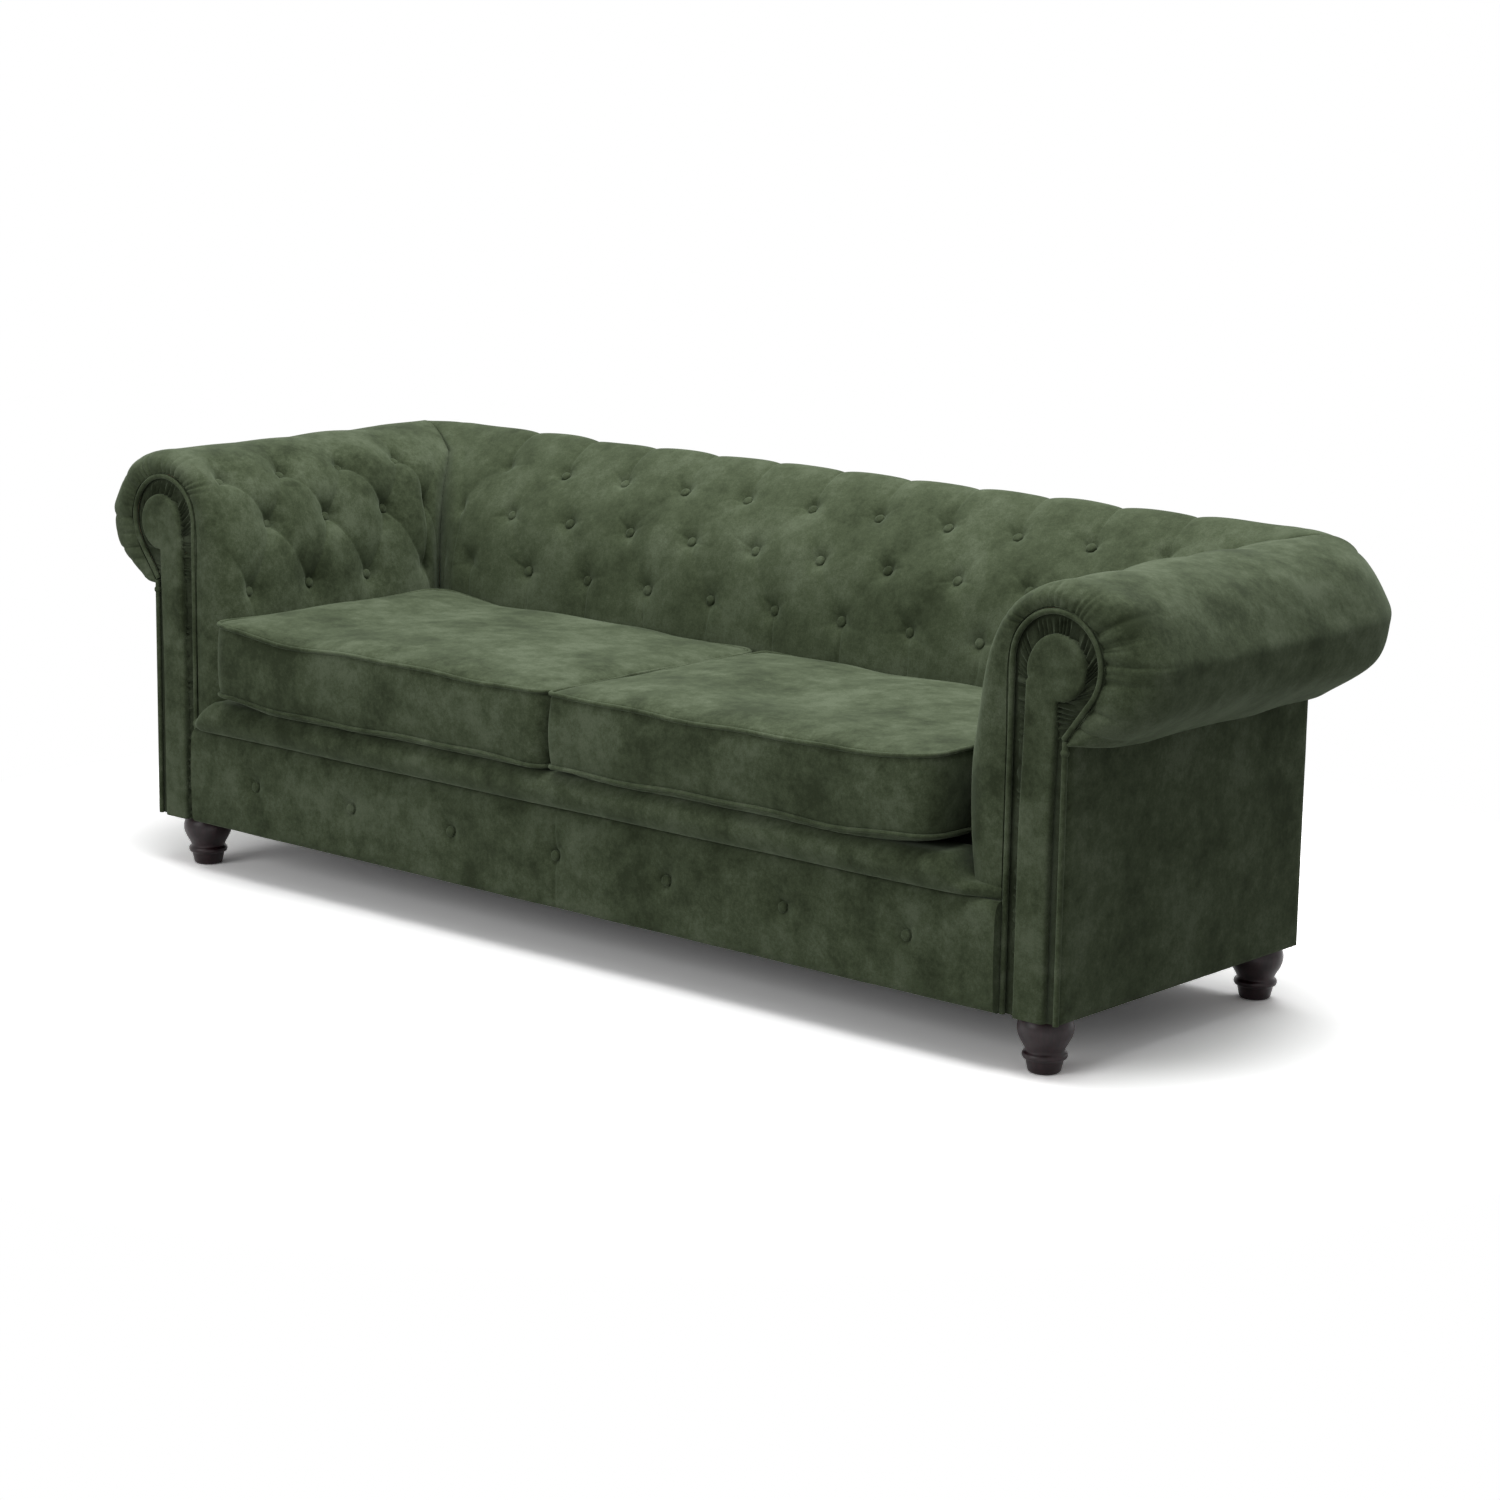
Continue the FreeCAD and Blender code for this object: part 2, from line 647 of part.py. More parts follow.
def scroll_path():
    """Centre line of the scroll piping: up, round the scroll and out to the notch."""
    x = SCROLL_X - SCROLL_R
    start, end = scroll_foot(SCROLL_R)
    path = [V(x, PIPING_Y, BASE_Z)]
    steps = 14
    for n in range(steps + 1):
        angle = math.radians(lerp(180.0, -SCROLL_END, n / steps))
        path.append(V(SCROLL_X + SCROLL_R * math.cos(angle), PIPING_Y,
                      SCROLL_Z + SCROLL_R * math.sin(angle)))
    path.append(V(lerp(start[0], end[0], 0.8), PIPING_Y, lerp(start[1], end[1], 0.8)))
    return path


def make_scroll_front():
    levels = [(-FACING_ROUND, 0.0), (-FACING_ROUND * 0.3, FACING_ROUND * 0.3), (0.0, FACING_ROUND),
              (0.0, FRONT_BOARD_Y - GAP)]
    outlines = [facing_outline(grow, BASE_Z).translated(V(0, y, 0)) for grow, y in levels]
    keep_pair("facing", Part.makeLoft(outlines, True, True))

    inset = BOARD_EDGE + PIPING_R + 3 * GAP
    band = plate(scroll_outline(inset, BASE_Z), BAND_Y, FRONT_BOARD_Y - GAP)
    hole = plate(facing_outline(BAND_GAP, 0.0), BAND_Y - GAP, FRONT_BOARD_Y)
    strip = box(FACING_OUT + BAND_GAP, BASE_HALF - 2 * PIPING_R - GAP, BAND_Y + STRIP_BACK,
                FRONT_BOARD_Y - GAP, BASE_Z, NOTCH_Z - GAP)
    keep_pair("pleated_band", band.cut(hole).fuse(strip).removeSplitter())
    keep_pair("scroll_piping", tube(scroll_path(), PIPING_R, V(0, 1, 0)))

    side_x = BASE_HALF - PIPING_R
    side_path = [V(side_x, PIPING_Y, BASE_Z), V(side_x, PIPING_Y, NOTCH_Z - GAP)]
    keep("side_piping", both_sides([tube(side_path, PIPING_R, V(0, 1, 0))]))


def make_arm_frame():
    front = plate(scroll_outline(GAP, FRAME_Z), FRONT_BOARD_Y, BOARD_REAR_Y)
    keep_pair("arm_front_board", front)

    side_rail = box(SIDE_IN, SIDE_OUT, BOARD_REAR_Y, BACK_OUT_TIMBER, FRAME_Z, FRAME_Z + LOW_RAIL_H)
    outer_rail = box(SIDE_IN, SIDE_OUT, BOARD_REAR_Y, BACK_OUT_TIMBER - TIMBER,
                     NOTCH_Z - GAP - TIMBER, NOTCH_Z - GAP)
    top_rail = box(SCROLL_X - TIMBER, SCROLL_X + TIMBER, BOARD_REAR_Y, REAR_BOARD_Y,
                   SCROLL_Z, SCROLL_Z + TIMBER)
    rear = plate(scroll_outline(BOARD_SHRINK, FRAME_Z), REAR_BOARD_Y, ARM_LAST)
    rear = rear.cut(side_rail).cut(outer_rail)
    liner_z = RAIL_TOP_Z + TIMBER
    liner_x = BOARD_INNER + BOARD_SHRINK
    liner = box(liner_x, liner_x + PANEL_T, BOARD_REAR_Y, REAR_BOARD_Y, liner_z, SCROLL_Z - TIMBER)
    tack = box(liner_x + PANEL_T, liner_x + PANEL_T + TIMBER, BOARD_REAR_Y, REAR_BOARD_Y,
               liner_z, liner_z + 2 * TIMBER)
    keep_pair("side_rail", side_rail)
    keep_pair("arm_outer_rail", outer_rail)
    keep_pair("arm_top_rail", top_rail)
    keep_pair("arm_rear_board", rear)
    keep("arm_liners", both_sides([liner]))
    keep("arm_tack_rails", both_sides([tack]))


STRAP_T = 2.0
BACK_RAIL_HALF = BOARD_INNER + BOARD_SHRINK - 2 * GAP
# The inner boards stand between two springs.
BACK_BOARD_X = (SPRING_PITCH * 1.5, BACK_RAIL_HALF - TIMBER / 2)


def make_back_frame():
    top_y = BACK_HEAD_Y - 1.5 * TIMBER
    top_z = BACK_HEAD_Z - TIMBER
    top_rail = box(-BACK_RAIL_HALF, BACK_RAIL_HALF, top_y, top_y + TIMBER, top_z, top_z + 2 * TIMBER)
    tack_y = BACK_CORE_FRONT + FOAM_GAP + STRAP_T + GAP
    tack_z = PAD_BOTTOM_Z + TIMBER / 2
    tack = box(-BACK_RAIL_HALF, BACK_RAIL_HALF, tack_y, tack_y + TIMBER, tack_z, tack_z + 2 * TIMBER)
    outer = box(-SIDE_IN, SIDE_IN, BACK_OUT_TIMBER - TIMBER, BACK_OUT_TIMBER,
                NOTCH_Z - GAP - TIMBER, NOTCH_Z - GAP)
    middle = V(0, BACK_HEAD_Y, BACK_HEAD_Z)
    front = BACK_CORE_FRONT + BOARD_SHRINK
    behind = BACK_OUT_TIMBER - 2 * GAP
    outline = [V(0, behind, RAIL_TOP_Z), V(0, front, RAIL_TOP_Z), V(0, front, FACE_MID_Z)]
    for y, z in BACK_CORE[2:-1]:
        away = V(0, y, z) - middle
        away.normalize()
        outline.append(V(0, y, z) - away * BOARD_SHRINK)
    outline.append(V(0, behind, BACK_TAIL_Z + BOARD_SHRINK))
    board = prism(outline, V(TIMBER, 0, 0))
    boards = []
    for x in BACK_BOARD_X:
        one = board.translated(V(x - TIMBER / 2, 0, 0))
        boards.append(one.cut(top_rail).cut(tack).cut(outer))
    keep("back_boards", both_sides(boards))
    keep("back_top_rail", top_rail)
    keep("back_tack_rail", tack)
    keep("back_outer_rail", outer)

    strap_w = 60.0
    tab = 20.0
    low_y = tack_y - GAP / 2
    low_z = tack_z + 2 * TIMBER
    high_y = top_y - GAP / 2
    high_z = top_z + TIMBER
    rear = [V(0, low_y, low_z - tab), V(0, low_y, low_z), V(0, high_y, high_z), V(0, high_y, high_z + tab)]
    strap = prism(rear + [p - V(0, STRAP_T, 0) for p in rear[::-1]], V(strap_w, 0, 0))
    count = 7
    inner = BACK_BOARD_X[1] - TIMBER / 2
    step = 2 * inner / count
    straps = [strap.translated(V(-inner + step * (n + 0.5) - strap_w / 2, 0, 0)) for n in range(count)]
    boards_wide = group([box(x - TIMBER, x + TIMBER, 0, BASE_DEPTH * 2, 0, ROLL_TOP_Z)
                         for side in BACK_BOARD_X for x in (side, -side)])
    keep("back_webbing", group([one.cut(boards_wide) for one in straps]))


def make_base():
    keep("front_rail", box(-BOARD_INNER, BOARD_INNER, FRONT_BOARD_Y, FRONT_BOARD_Y + TIMBER,
                           FRAME_Z, RAIL_TOP_Z))
    block_in = SIDE_IN - BLOCK
    keep("rear_rail", box(-block_in, block_in, BACK_OUT_TIMBER - TIMBER, BACK_OUT_TIMBER,
                          FRAME_Z, RAIL_TOP_Z))
    keep("centre_rail", box(-TIMBER / 2, TIMBER / 2, FRONT_BOARD_Y + TIMBER,
                            BACK_OUT_TIMBER - TIMBER, FRAME_Z, FRAME_Z + LOW_RAIL_H))
    front = box(block_in, SIDE_IN, BOARD_REAR_Y, BOARD_REAR_Y + BLOCK, BASE_Z, RAIL_TOP_Z)
    rear = box(block_in, SIDE_IN, BACK_OUT_TIMBER - BLOCK, BACK_OUT_TIMBER, BASE_Z, RAIL_TOP_Z)
    blocks = []
    for block, y in ((front, FOOT_FRONT_Y), (rear, FOOT_REAR_Y)):
        blocks.append(block.cut(rod(BOLT_R, 0.0, RAIL_TOP_Z + 1.0, V(FOOT_X, y, 0))))
    keep("corner_blocks", both_sides(blocks))

    dust = box(-SIDE_OUT, SIDE_OUT, FRONT_BOARD_Y, BACK_OUT_TIMBER, BASE_Z, FRAME_Z)
    for x in (FOOT_X, -FOOT_X):
        for y in (FOOT_FRONT_Y, FOOT_REAR_Y):
            reach = BLOCK * 0.6 + FOOT_BULB_R * 0.5
            dust = dust.cut(box(x - reach, x + reach, y - reach, y + reach, 0, RAIL_TOP_Z))
    keep("dust_cover", dust)

    panel = box(PANEL_IN, BASE_HALF, FRONT_BOARD_Y, BASE_DEPTH, BASE_Z, NOTCH_Z - GAP)
    keep_pair("outer_arm_panel", panel)
    keep("outer_back_panel", box(-PANEL_IN, PANEL_IN, BACK_IN, BASE_DEPTH, BASE_Z, NOTCH_Z - GAP))


def make_border():
    half = BOARD_INNER + BOARD_EDGE - PIPING_R - GAP
    rear = FRONT_BOARD_Y - GAP
    soft = BORDER_ROUND
    outline = [(rear, BASE_Z), (rear, RAIL_TOP_Z), (BORDER_FRONT + soft, RAIL_TOP_Z),
               (BORDER_FRONT + soft * 0.3, RAIL_TOP_Z - soft * 0.3), (BORDER_FRONT, RAIL_TOP_Z - soft),
               (BORDER_FRONT, BASE_Z + soft), (BORDER_FRONT + soft * 0.3, BASE_Z + soft * 0.3),
               (BORDER_FRONT + soft, BASE_Z)]
    border = prism([V(-half, y, z) for y, z in outline], V(2 * half, 0, 0))
    seam_w = 2.0
    seam = prism([V(-seam_w, BORDER_FRONT - GAP, BASE_Z - 1), V(seam_w, BORDER_FRONT - GAP, BASE_Z - 1),
                  V(0, BORDER_FRONT + seam_w, BASE_Z - 1)], V(0, 0, RAIL_TOP_Z))
    border = border.cut(seam)
    dimple_r = 24.0
    dimple = 8.0
    pitch = 2 * (half - BORDER_END) / (BORDER_BUTTONS - 1)
    buttons = []
    for n in range(BORDER_BUTTONS):
        x = n * pitch - half + BORDER_END
        hollow = stack([ring(dimple_r, 0, BUTTON_SIDES), ring(BUTTON_R * 0.6, dimple, BUTTON_SIDES)])
        hollow.Placement = FreeCAD.Placement(V(x, BORDER_FRONT - 0.01, BORDER_BUTTON_Z),
                                             FreeCAD.Rotation(Z_AXIS, V(0, 1, 0)))
        border = border.cut(hollow)
        buttons.append(button(V(x, BORDER_FRONT + dimple - 1.5, BORDER_BUTTON_Z), V(0, -1, 0)))
    keep("front_border", border)
    keep("border_buttons", group(buttons))

    low = RAIL_TOP_Z + GAP
    top = DECK_TOP_Z + DECK_COVER_T
    nose_z = (low + top) / 2
    front_y = LIP_FRONT + (top - low) / 2
    clip_z = RAIL_TOP_Z + 9.0
    side = FRONT_BOARD_Y - 1.0
    edges = [
        Part.Arc(V(0, front_y, top), V(0, LIP_FRONT, nose_z), V(0, front_y - 6.0, low)).toShape(),
        Part.LineSegment(V(0, front_y - 6.0, low), V(0, side, low)).toShape(),
        Part.LineSegment(V(0, side, low), V(0, side, clip_z)).toShape(),
        Part.LineSegment(V(0, side, clip_z), V(0, LIP_REAR * 0.7, clip_z + 3.0)).toShape(),
        Part.LineSegment(V(0, LIP_REAR * 0.7, clip_z + 3.0), V(0, LIP_REAR, DECK_BOTTOM_Z)).toShape(),
        Part.LineSegment(V(0, LIP_REAR, DECK_BOTTOM_Z), V(0, LIP_REAR, top)).toShape(),
        Part.LineSegment(V(0, LIP_REAR, top), V(0, front_y, top)).toShape()]
    roll = Part.Face(Part.Wire(edges)).extrude(V(2 * half, 0, 0)).translated(V(-half, 0, 0))
    for x in (ARM_INNER - 4.0, -half - 1.0):
        end = half + 1.0 if x > 0 else -ARM_INNER + 4.0
        roll = roll.cut(box(x, end, LIP_FRONT - 1.0, LIP_REAR + 1.0, PAD_BOTTOM_Z - GAP, top + 1.0))
    inner = BOARD_INNER - GAP
    for x, end in ((inner, half + 1.0), (-half - 1.0, -inner)):
        roll = roll.cut(box(x, end, FRONT_BOARD_Y - GAP, LIP_REAR + 1.0, low - 1.0, top + 1.0))
    keep("lip_roll", roll)

    deck_half = ARM_INNER - 5.0
    keep("deck_pad", box(-deck_half, deck_half, LIP_REAR + GAP, BACK_FACE - 5.0,
                         DECK_BOTTOM_Z, DECK_TOP_Z))
    keep("deck_cover", box(-deck_half, deck_half, LIP_REAR + GAP, BACK_FACE - 5.0,
                           DECK_TOP_Z, DECK_TOP_Z + DECK_COVER_T))


def spring_path():
    """Corners of one zigzag spring, from the front rail to the rear rail."""
    front = FRONT_BOARD_Y + TIMBER / 2
    rear = BACK_OUT_TIMBER - TIMBER / 2
    low = RAIL_TOP_Z + 1.5 + SPRING_WIRE / 2
    rise = DECK_BOTTOM_Z - GAP - SPRING_WIRE / 2 - low
    step = (rear - front) / SPRING_BENDS
    path = []
    for n in range(SPRING_BENDS):
        side = SPRING_HALF if n % 2 else -SPRING_HALF
        for share in (0.15, 0.85):
            y = front + step * (n + share)
            t = (n + share - 0.15) / (SPRING_BENDS - 0.3)
            path.append(V(side, y, low + rise * 4 * t * (1 - t)))
    path.insert(0, V(SPRING_HALF * 0.2, front, low))
    path.append(V(-SPRING_HALF * 0.2, rear, low))
    return path


def square_wire(path, width):
    """Square wire through the points of a path, mitred at its corners."""
    half = width / 2
    lines = []
    for n, here in enumerate(path):
        before = path[max(n - 1, 0)]
        after = path[min(n + 1, len(path) - 1)]
        a = here - before if n else after - here
        b = after - here if n < len(path) - 1 else a
        a.normalize()
        b.normalize()
        along = a + b
        along.normalize()
        side = Z_AXIS.cross(along)
        side.normalize()
        stretch = 1.0 / max(math.sqrt((1 + a.dot(b)) / 2), 0.5)
        side = side * (half * stretch)
        lines.append([here - side, here + side])
    lift = V(0, 0, half)
    upper = [[p + lift for p in line] for line in lines]
    lower = [[p - lift for p in line] for line in lines]
    return band_solid(upper, lower)


def make_springs():
    one = square_wire(spring_path(), SPRING_WIRE)
    first = -(SPRINGS - 1) / 2 * SPRING_PITCH
    places = [first + n * SPRING_PITCH for n in range(SPRINGS)]
    keep("seat_springs", group([one.translated(V(x, 0, 0)) for x in places]))

    plate_t = 1.5
    reach = TIMBER / 2 - 1.0
    wide = 2 * SPRING_HALF + 4 * SPRING_WIRE
    under = RAIL_TOP_Z + 1.5 + SPRING_WIRE + GAP / 2
    over = under + plate_t
    clips = []
    for y, way in ((FRONT_BOARD_Y + TIMBER / 2, 1), (BACK_OUT_TIMBER - TIMBER / 2, -1)):
        toe = y - way * reach
        heel = toe + way * 2 * plate_t
        end = y + way * reach
        outline = [(toe, RAIL_TOP_Z), (toe, over), (end, over), (end, under), (heel, under),
                   (heel, RAIL_TOP_Z)]
        clip = prism([V(-wide / 2, a, b) for a, b in outline], V(wide, 0, 0))
        clips += [clip.translated(V(x, 0, 0)) for x in places]
    keep("spring_clips", group(clips))


def cushion_outline(shrink, z, radius):
    """Level outline of a box cushion: round corners, with the sides drawn in between them."""
    x0 = CUSHION_INNER + shrink
    x1 = CUSHION_OUTER - shrink
    y0 = CUSHION_FRONT + shrink
    y1 = CUSHION_REAR - shrink
    centres = [(x0 + radius, y0 + radius, 180), (x1 - radius, y0 + radius, 270),
               (x1 - radius, y1 - radius, 0), (x0 + radius, y1 - radius, 90)]
    bows = [V(0, 1, 0), V(-1, 0, 0), V(0, -1, 0), V(1, 0, 0)]
    points = []
    for n, (x, y, first) in enumerate(centres):
        for k in range(CORNER_FACETS + 1):
            angle = math.radians(first + 90.0 * k / CORNER_FACETS)
            points.append(V(x + radius * math.cos(angle), y + radius * math.sin(angle), z))
        after = centres[(n + 1) % 4]
        turn = math.radians(after[2])
        there = V(after[0] + radius * math.cos(turn), after[1] + radius * math.sin(turn), z)
        points.append((points[-1] + there) * 0.5 + bows[n] * SIDE_BOW)
    return points


def cushion_solid(inset, levels):
    """Box cushion through level outlines. Each level is a height and how far it is drawn in."""
    rings = []
    for z, shrink in levels:
        s = shrink + inset
        rings.append(cushion_outline(s, z, max(CUSHION_CORNER - s * 0.5, 12.0)))
    return stack(rings)


def make_cushions():
    bottom = DECK_TOP_Z + DECK_COVER_T + FIT
    low = CUSHION_LOW_SEAM_Z
    high = CUSHION_TOP_SEAM_Z
    mid = (low + high) / 2
    top = high + CUSHION_CROWN
    seam = CUSHION_SEAM_IN
    middle = (CUSHION_REAR - CUSHION_FRONT) / 2 - seam
    outside = [(bottom, seam + middle * 0.15), (low, seam), (lerp(low, high, 0.25), 0.0),
               (lerp(low, high, 0.75), 0.0), (high, seam), (lerp(high, top, 0.45), seam + middle * 0.11),
               (lerp(high, top, 0.8), seam + middle * 0.34), (top, seam + middle * 0.72)]
    skin = CUSHION_SKIN
    inside = [(bottom + skin, seam + middle * 0.16), (low, seam), (mid, 0.0), (high, seam),
              (lerp(high, top, 0.6), seam + middle * 0.25), (top - skin, seam + middle * 0.72)]
    cavity = cushion_solid(skin, inside)
    core = cushion_solid(skin + GAP, [(z - GAP if z > mid else z + GAP, s) for z, s in inside])
    cover = cushion_solid(0.0, outside)

    pipings = []
    for z in (low, high):
        path = cushion_outline(seam - CUSHION_PIPING_R - GAP / 2, z, CUSHION_CORNER)
        pipings.append(tube(path, CUSHION_PIPING_R, Z_AXIS, True))
    cover = cover.cut(cavity)

    zip_box = box(CUSHION_INNER + ZIP_END, CUSHION_OUTER - ZIP_END, CUSHION_REAR - 2 * skin, CUSHION_REAR,
                  mid - ZIP_WIDTH / 2, mid + ZIP_WIDTH / 2)
    zip_tape = zip_box.common(cover)
    cover = cover.cut(zip_box)
    keep_pair("cushion_cover", cover)
    keep_pair("cushion_core", core)
    keep_pair("cushion_piping", group(pipings))
    keep_pair("cushion_zip", zip_tape)


def make_feet():
    """Turned foot: a bulb under the base, a neck, a bead and a tapered toe."""
    profile = [(FOOT_BASE_R, 0.0), (FOOT_NECK_R, 0.22), (FOOT_BEAD_R, 0.26), (FOOT_BEAD_R, 0.34),
               (FOOT_NECK_R, 0.40), (lerp(FOOT_NECK_R, FOOT_BULB_R, 0.6), 0.52), (FOOT_BULB_R, 0.66),
               (FOOT_BULB_R, 0.80), (lerp(FOOT_TOP_R, FOOT_BULB_R, 0.6), 0.92), (FOOT_TOP_R, 1.0)]
    foot = stack([ring(radius, BASE_Z * share, FOOT_SIDES) for radius, share in profile])
    no_shift = V(0, 0, 0)
    foot = foot.cut(rod(BOLT_R, BASE_Z - BOLT_IN_FOOT, BASE_Z + 1.0, no_shift))
    bolt = rod(BOLT_R - 0.05, BASE_Z - BOLT_IN_FOOT + 1.0, BASE_Z + BOLT_IN_BLOCK, no_shift)
    keep("front_feet", both_sides([foot.translated(V(FOOT_X, FOOT_FRONT_Y, 0))]))
    keep("rear_feet", both_sides([foot.translated(V(FOOT_X, FOOT_REAR_Y, 0))]))
    places = [V(FOOT_X, FOOT_FRONT_Y, 0), V(FOOT_X, FOOT_REAR_Y, 0)]
    keep("foot_bolts", both_sides([bolt.translated(place) for place in places]))


def export():
    overall = group(list(PARTS.values())).BoundBox
    shift = V(0, -(overall.YMin + overall.YMax) / 2, 0)
    for name, shape in PARTS.items():
        shape.translated(shift).exportStep("parts/" + name + ".step")
    print("slides along y by", round(shift.y, 3), "box", overall)


make_arm_upholstery()
make_back_upholstery()
make_scroll_front()
make_arm_frame()
make_back_frame()
make_base()
make_border()
make_springs()
make_cushions()
make_feet()
export()
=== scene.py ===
import json
import math

import bpy
import numpy as np
from mathutils import Matrix, Vector


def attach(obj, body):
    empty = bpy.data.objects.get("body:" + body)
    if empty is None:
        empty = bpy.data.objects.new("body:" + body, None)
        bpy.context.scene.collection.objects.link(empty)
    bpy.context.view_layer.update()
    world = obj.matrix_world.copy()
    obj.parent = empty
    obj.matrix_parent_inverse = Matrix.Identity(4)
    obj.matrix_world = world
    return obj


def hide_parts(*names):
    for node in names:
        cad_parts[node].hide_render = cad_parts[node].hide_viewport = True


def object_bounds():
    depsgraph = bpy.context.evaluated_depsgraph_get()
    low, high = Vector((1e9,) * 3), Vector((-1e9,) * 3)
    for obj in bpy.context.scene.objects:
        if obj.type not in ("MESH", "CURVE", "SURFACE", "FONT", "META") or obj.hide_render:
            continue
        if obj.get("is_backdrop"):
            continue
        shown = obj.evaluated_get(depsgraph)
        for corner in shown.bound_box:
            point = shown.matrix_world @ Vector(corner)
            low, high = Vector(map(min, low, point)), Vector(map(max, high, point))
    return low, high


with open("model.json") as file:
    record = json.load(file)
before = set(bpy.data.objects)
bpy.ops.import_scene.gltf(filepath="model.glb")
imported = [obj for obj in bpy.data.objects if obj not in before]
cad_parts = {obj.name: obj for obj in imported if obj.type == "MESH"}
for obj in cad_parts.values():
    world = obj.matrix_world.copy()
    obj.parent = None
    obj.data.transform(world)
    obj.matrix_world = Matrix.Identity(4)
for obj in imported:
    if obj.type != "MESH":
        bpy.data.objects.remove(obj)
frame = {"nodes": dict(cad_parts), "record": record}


def plain_box(box):
    return [plain_box(part) if hasattr(part, "__len__") else float(part) for part in box]


cad_box = plain_box(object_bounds())
nodes = frame["nodes"]

# Metres. x runs across the seat and z up from the floor. While drawing, y = 0 is the
# front of the arm facings, as in the part's source; every mesh then slides by FRONT.
FRONT = -0.376

# Base
BASE_HALF = 1.0
BASE_DEPTH = 0.652
BASE_Z = 0.092
NOTCH_Z = 0.506
RAIL_TOP_Z = 0.262

# Rolled arms and back
ARM_INNER = 0.800
ROLL_OUTER = 1.146
ROLL_TOP_Z = 0.747
PAD_BOTTOM_Z = 0.290
FACE_MID_Z = 0.400
ROLL_REAR = 0.790
BACK_FACE = 0.510
END_ROUND = 0.062         # the front end of an arm pad is rounded back this far
END_BLUNT = 2.7           # how blunt that end is; 2 is an ellipse
COVER_START = 0.008
CORNER_R = 0.230
CORNER_FULL = 2.2         # how full the roll turns at the rear corner; 2 is a circle
AXIS_X = ROLL_OUTER - CORNER_R
AXIS_Y = ROLL_REAR - CORNER_R

# Scroll front
SCROLL_X = 0.976
SCROLL_Z = 0.625
SCROLL_R = 0.078
SCROLL_END = 37.0
PIPING_R = 0.0045
PIPING_Y = 0.008
BOARD_R = SCROLL_R + 0.0065
SIDE_OUT = 0.996
FACING_IN = 0.926
FACING_OUT = 0.9805
FACING_HEAD_R = 0.050
FACING_HEAD_Z = 0.621
HEAD_DROP = 0.02          # the facing's head starts this far below its middle

# Tufting
CORNER_THICK = 0.03       # padding at the corners, where no timber stands behind it
LOW_ROW = 0.72            # the lowest row on an arm is this much shallower
ARM_PITCH = 0.142
ARM_FIRST = 0.070
ARM_LAST = 0.496
BACK_PITCH = 0.147
BACK_END = 21 * BACK_PITCH / 4
BUTTON_R = 0.0088

# Outlines of a pad section, as fractions across and up, as in the part's source.
ARM_SHAPE = [(0.023, 0.02), (0.098, 0.50), (0.246, 0.855), (0.52, 1.0), (0.818, 0.897),
             (0.982, 0.60), (1.0, 0.455), (0.95, 0.23), (0.76, 0.035), (0.697, 0.0)]
BACK_SHAPE = [(0.043, 0.07), (0.16, 0.463), (0.40, 0.78), (0.68, 1.0), (0.882, 0.897),
              (0.989, 0.65), (1.0, 0.49), (0.946, 0.265), (0.74, 0.06), (0.643, 0.0)]


# Small tools

def lerp(a, b, t):
    return a + (b - a) * t


def smooth(a, b, x):
    t = np.clip((x - a) / (b - a), 0.0, 1.0)
    return t * t * (3 - 2 * t)


def spline(keys, q):
    """Points at places q of a smooth line through the keys; key n is at q = n."""
    keys = np.array(keys, float)
    q = np.asarray(q, float)
    n = np.clip(np.floor(q).astype(int), 0, len(keys) - 2)
    t = (q - n)[..., None]
    a = keys[np.maximum(n - 1, 0)]
    b = keys[n]
    c = keys[n + 1]
    d = keys[np.minimum(n + 2, len(keys) - 1)]
    return b + 0.5 * t * (c - a + t * (2 * a - 5 * b + 4 * c - d + t * (3 * (b - c) + d - a)))


def places(keys, step):
    """Places q along a smooth line so that points lie about a step apart."""
    keys = np.array(keys, float)
    out = []
    for n in range(len(keys) - 1):
        length = np.linalg.norm(keys[n + 1] - keys[n])
        count = max(2, int(math.ceil(length / step)))
        out.extend(n + np.arange(count) / count)
    out.append(len(keys) - 1)
    return np.array(out)


def lumps(seed, points, size):
    """Soft irregular field of about -1 to 1 with lumps of about that size, for points of shape (..., 3)."""
    rng = np.random.RandomState(seed)
    total = np.zeros(points.shape[:-1])
    for _ in range(9):
        way = rng.normal(size=3)
        way /= np.linalg.norm(way)
        wave = 2 * math.pi / (size * rng.uniform(0.7, 1.8))
        total += np.sin(points @ way * wave + rng.uniform(0, 2 * math.pi))
    return total / 3.0


def grid_normals(grid):
    along = np.gradient(grid, axis=0)
    across = np.gradient(grid, axis=1)
    n = np.cross(along, across)
    return n / np.maximum(np.linalg.norm(n, axis=-1, keepdims=True), 1e-12)


def grid_faces(rows, columns, start=0, around=False, closed=False, flip=False):
    """Quads of a grid. around joins the last column to the first, closed the last row to the first."""
    faces = []
    for i in range(rows if closed else rows - 1):
        a = start + i * columns
        b = start + (i + 1) % rows * columns
        for j in range(columns if around else columns - 1):
            k = (j + 1) % columns
            quad = (a + j, a + k, b + k, b + j)
            faces.append(quad[::-1] if flip else quad)
    return faces


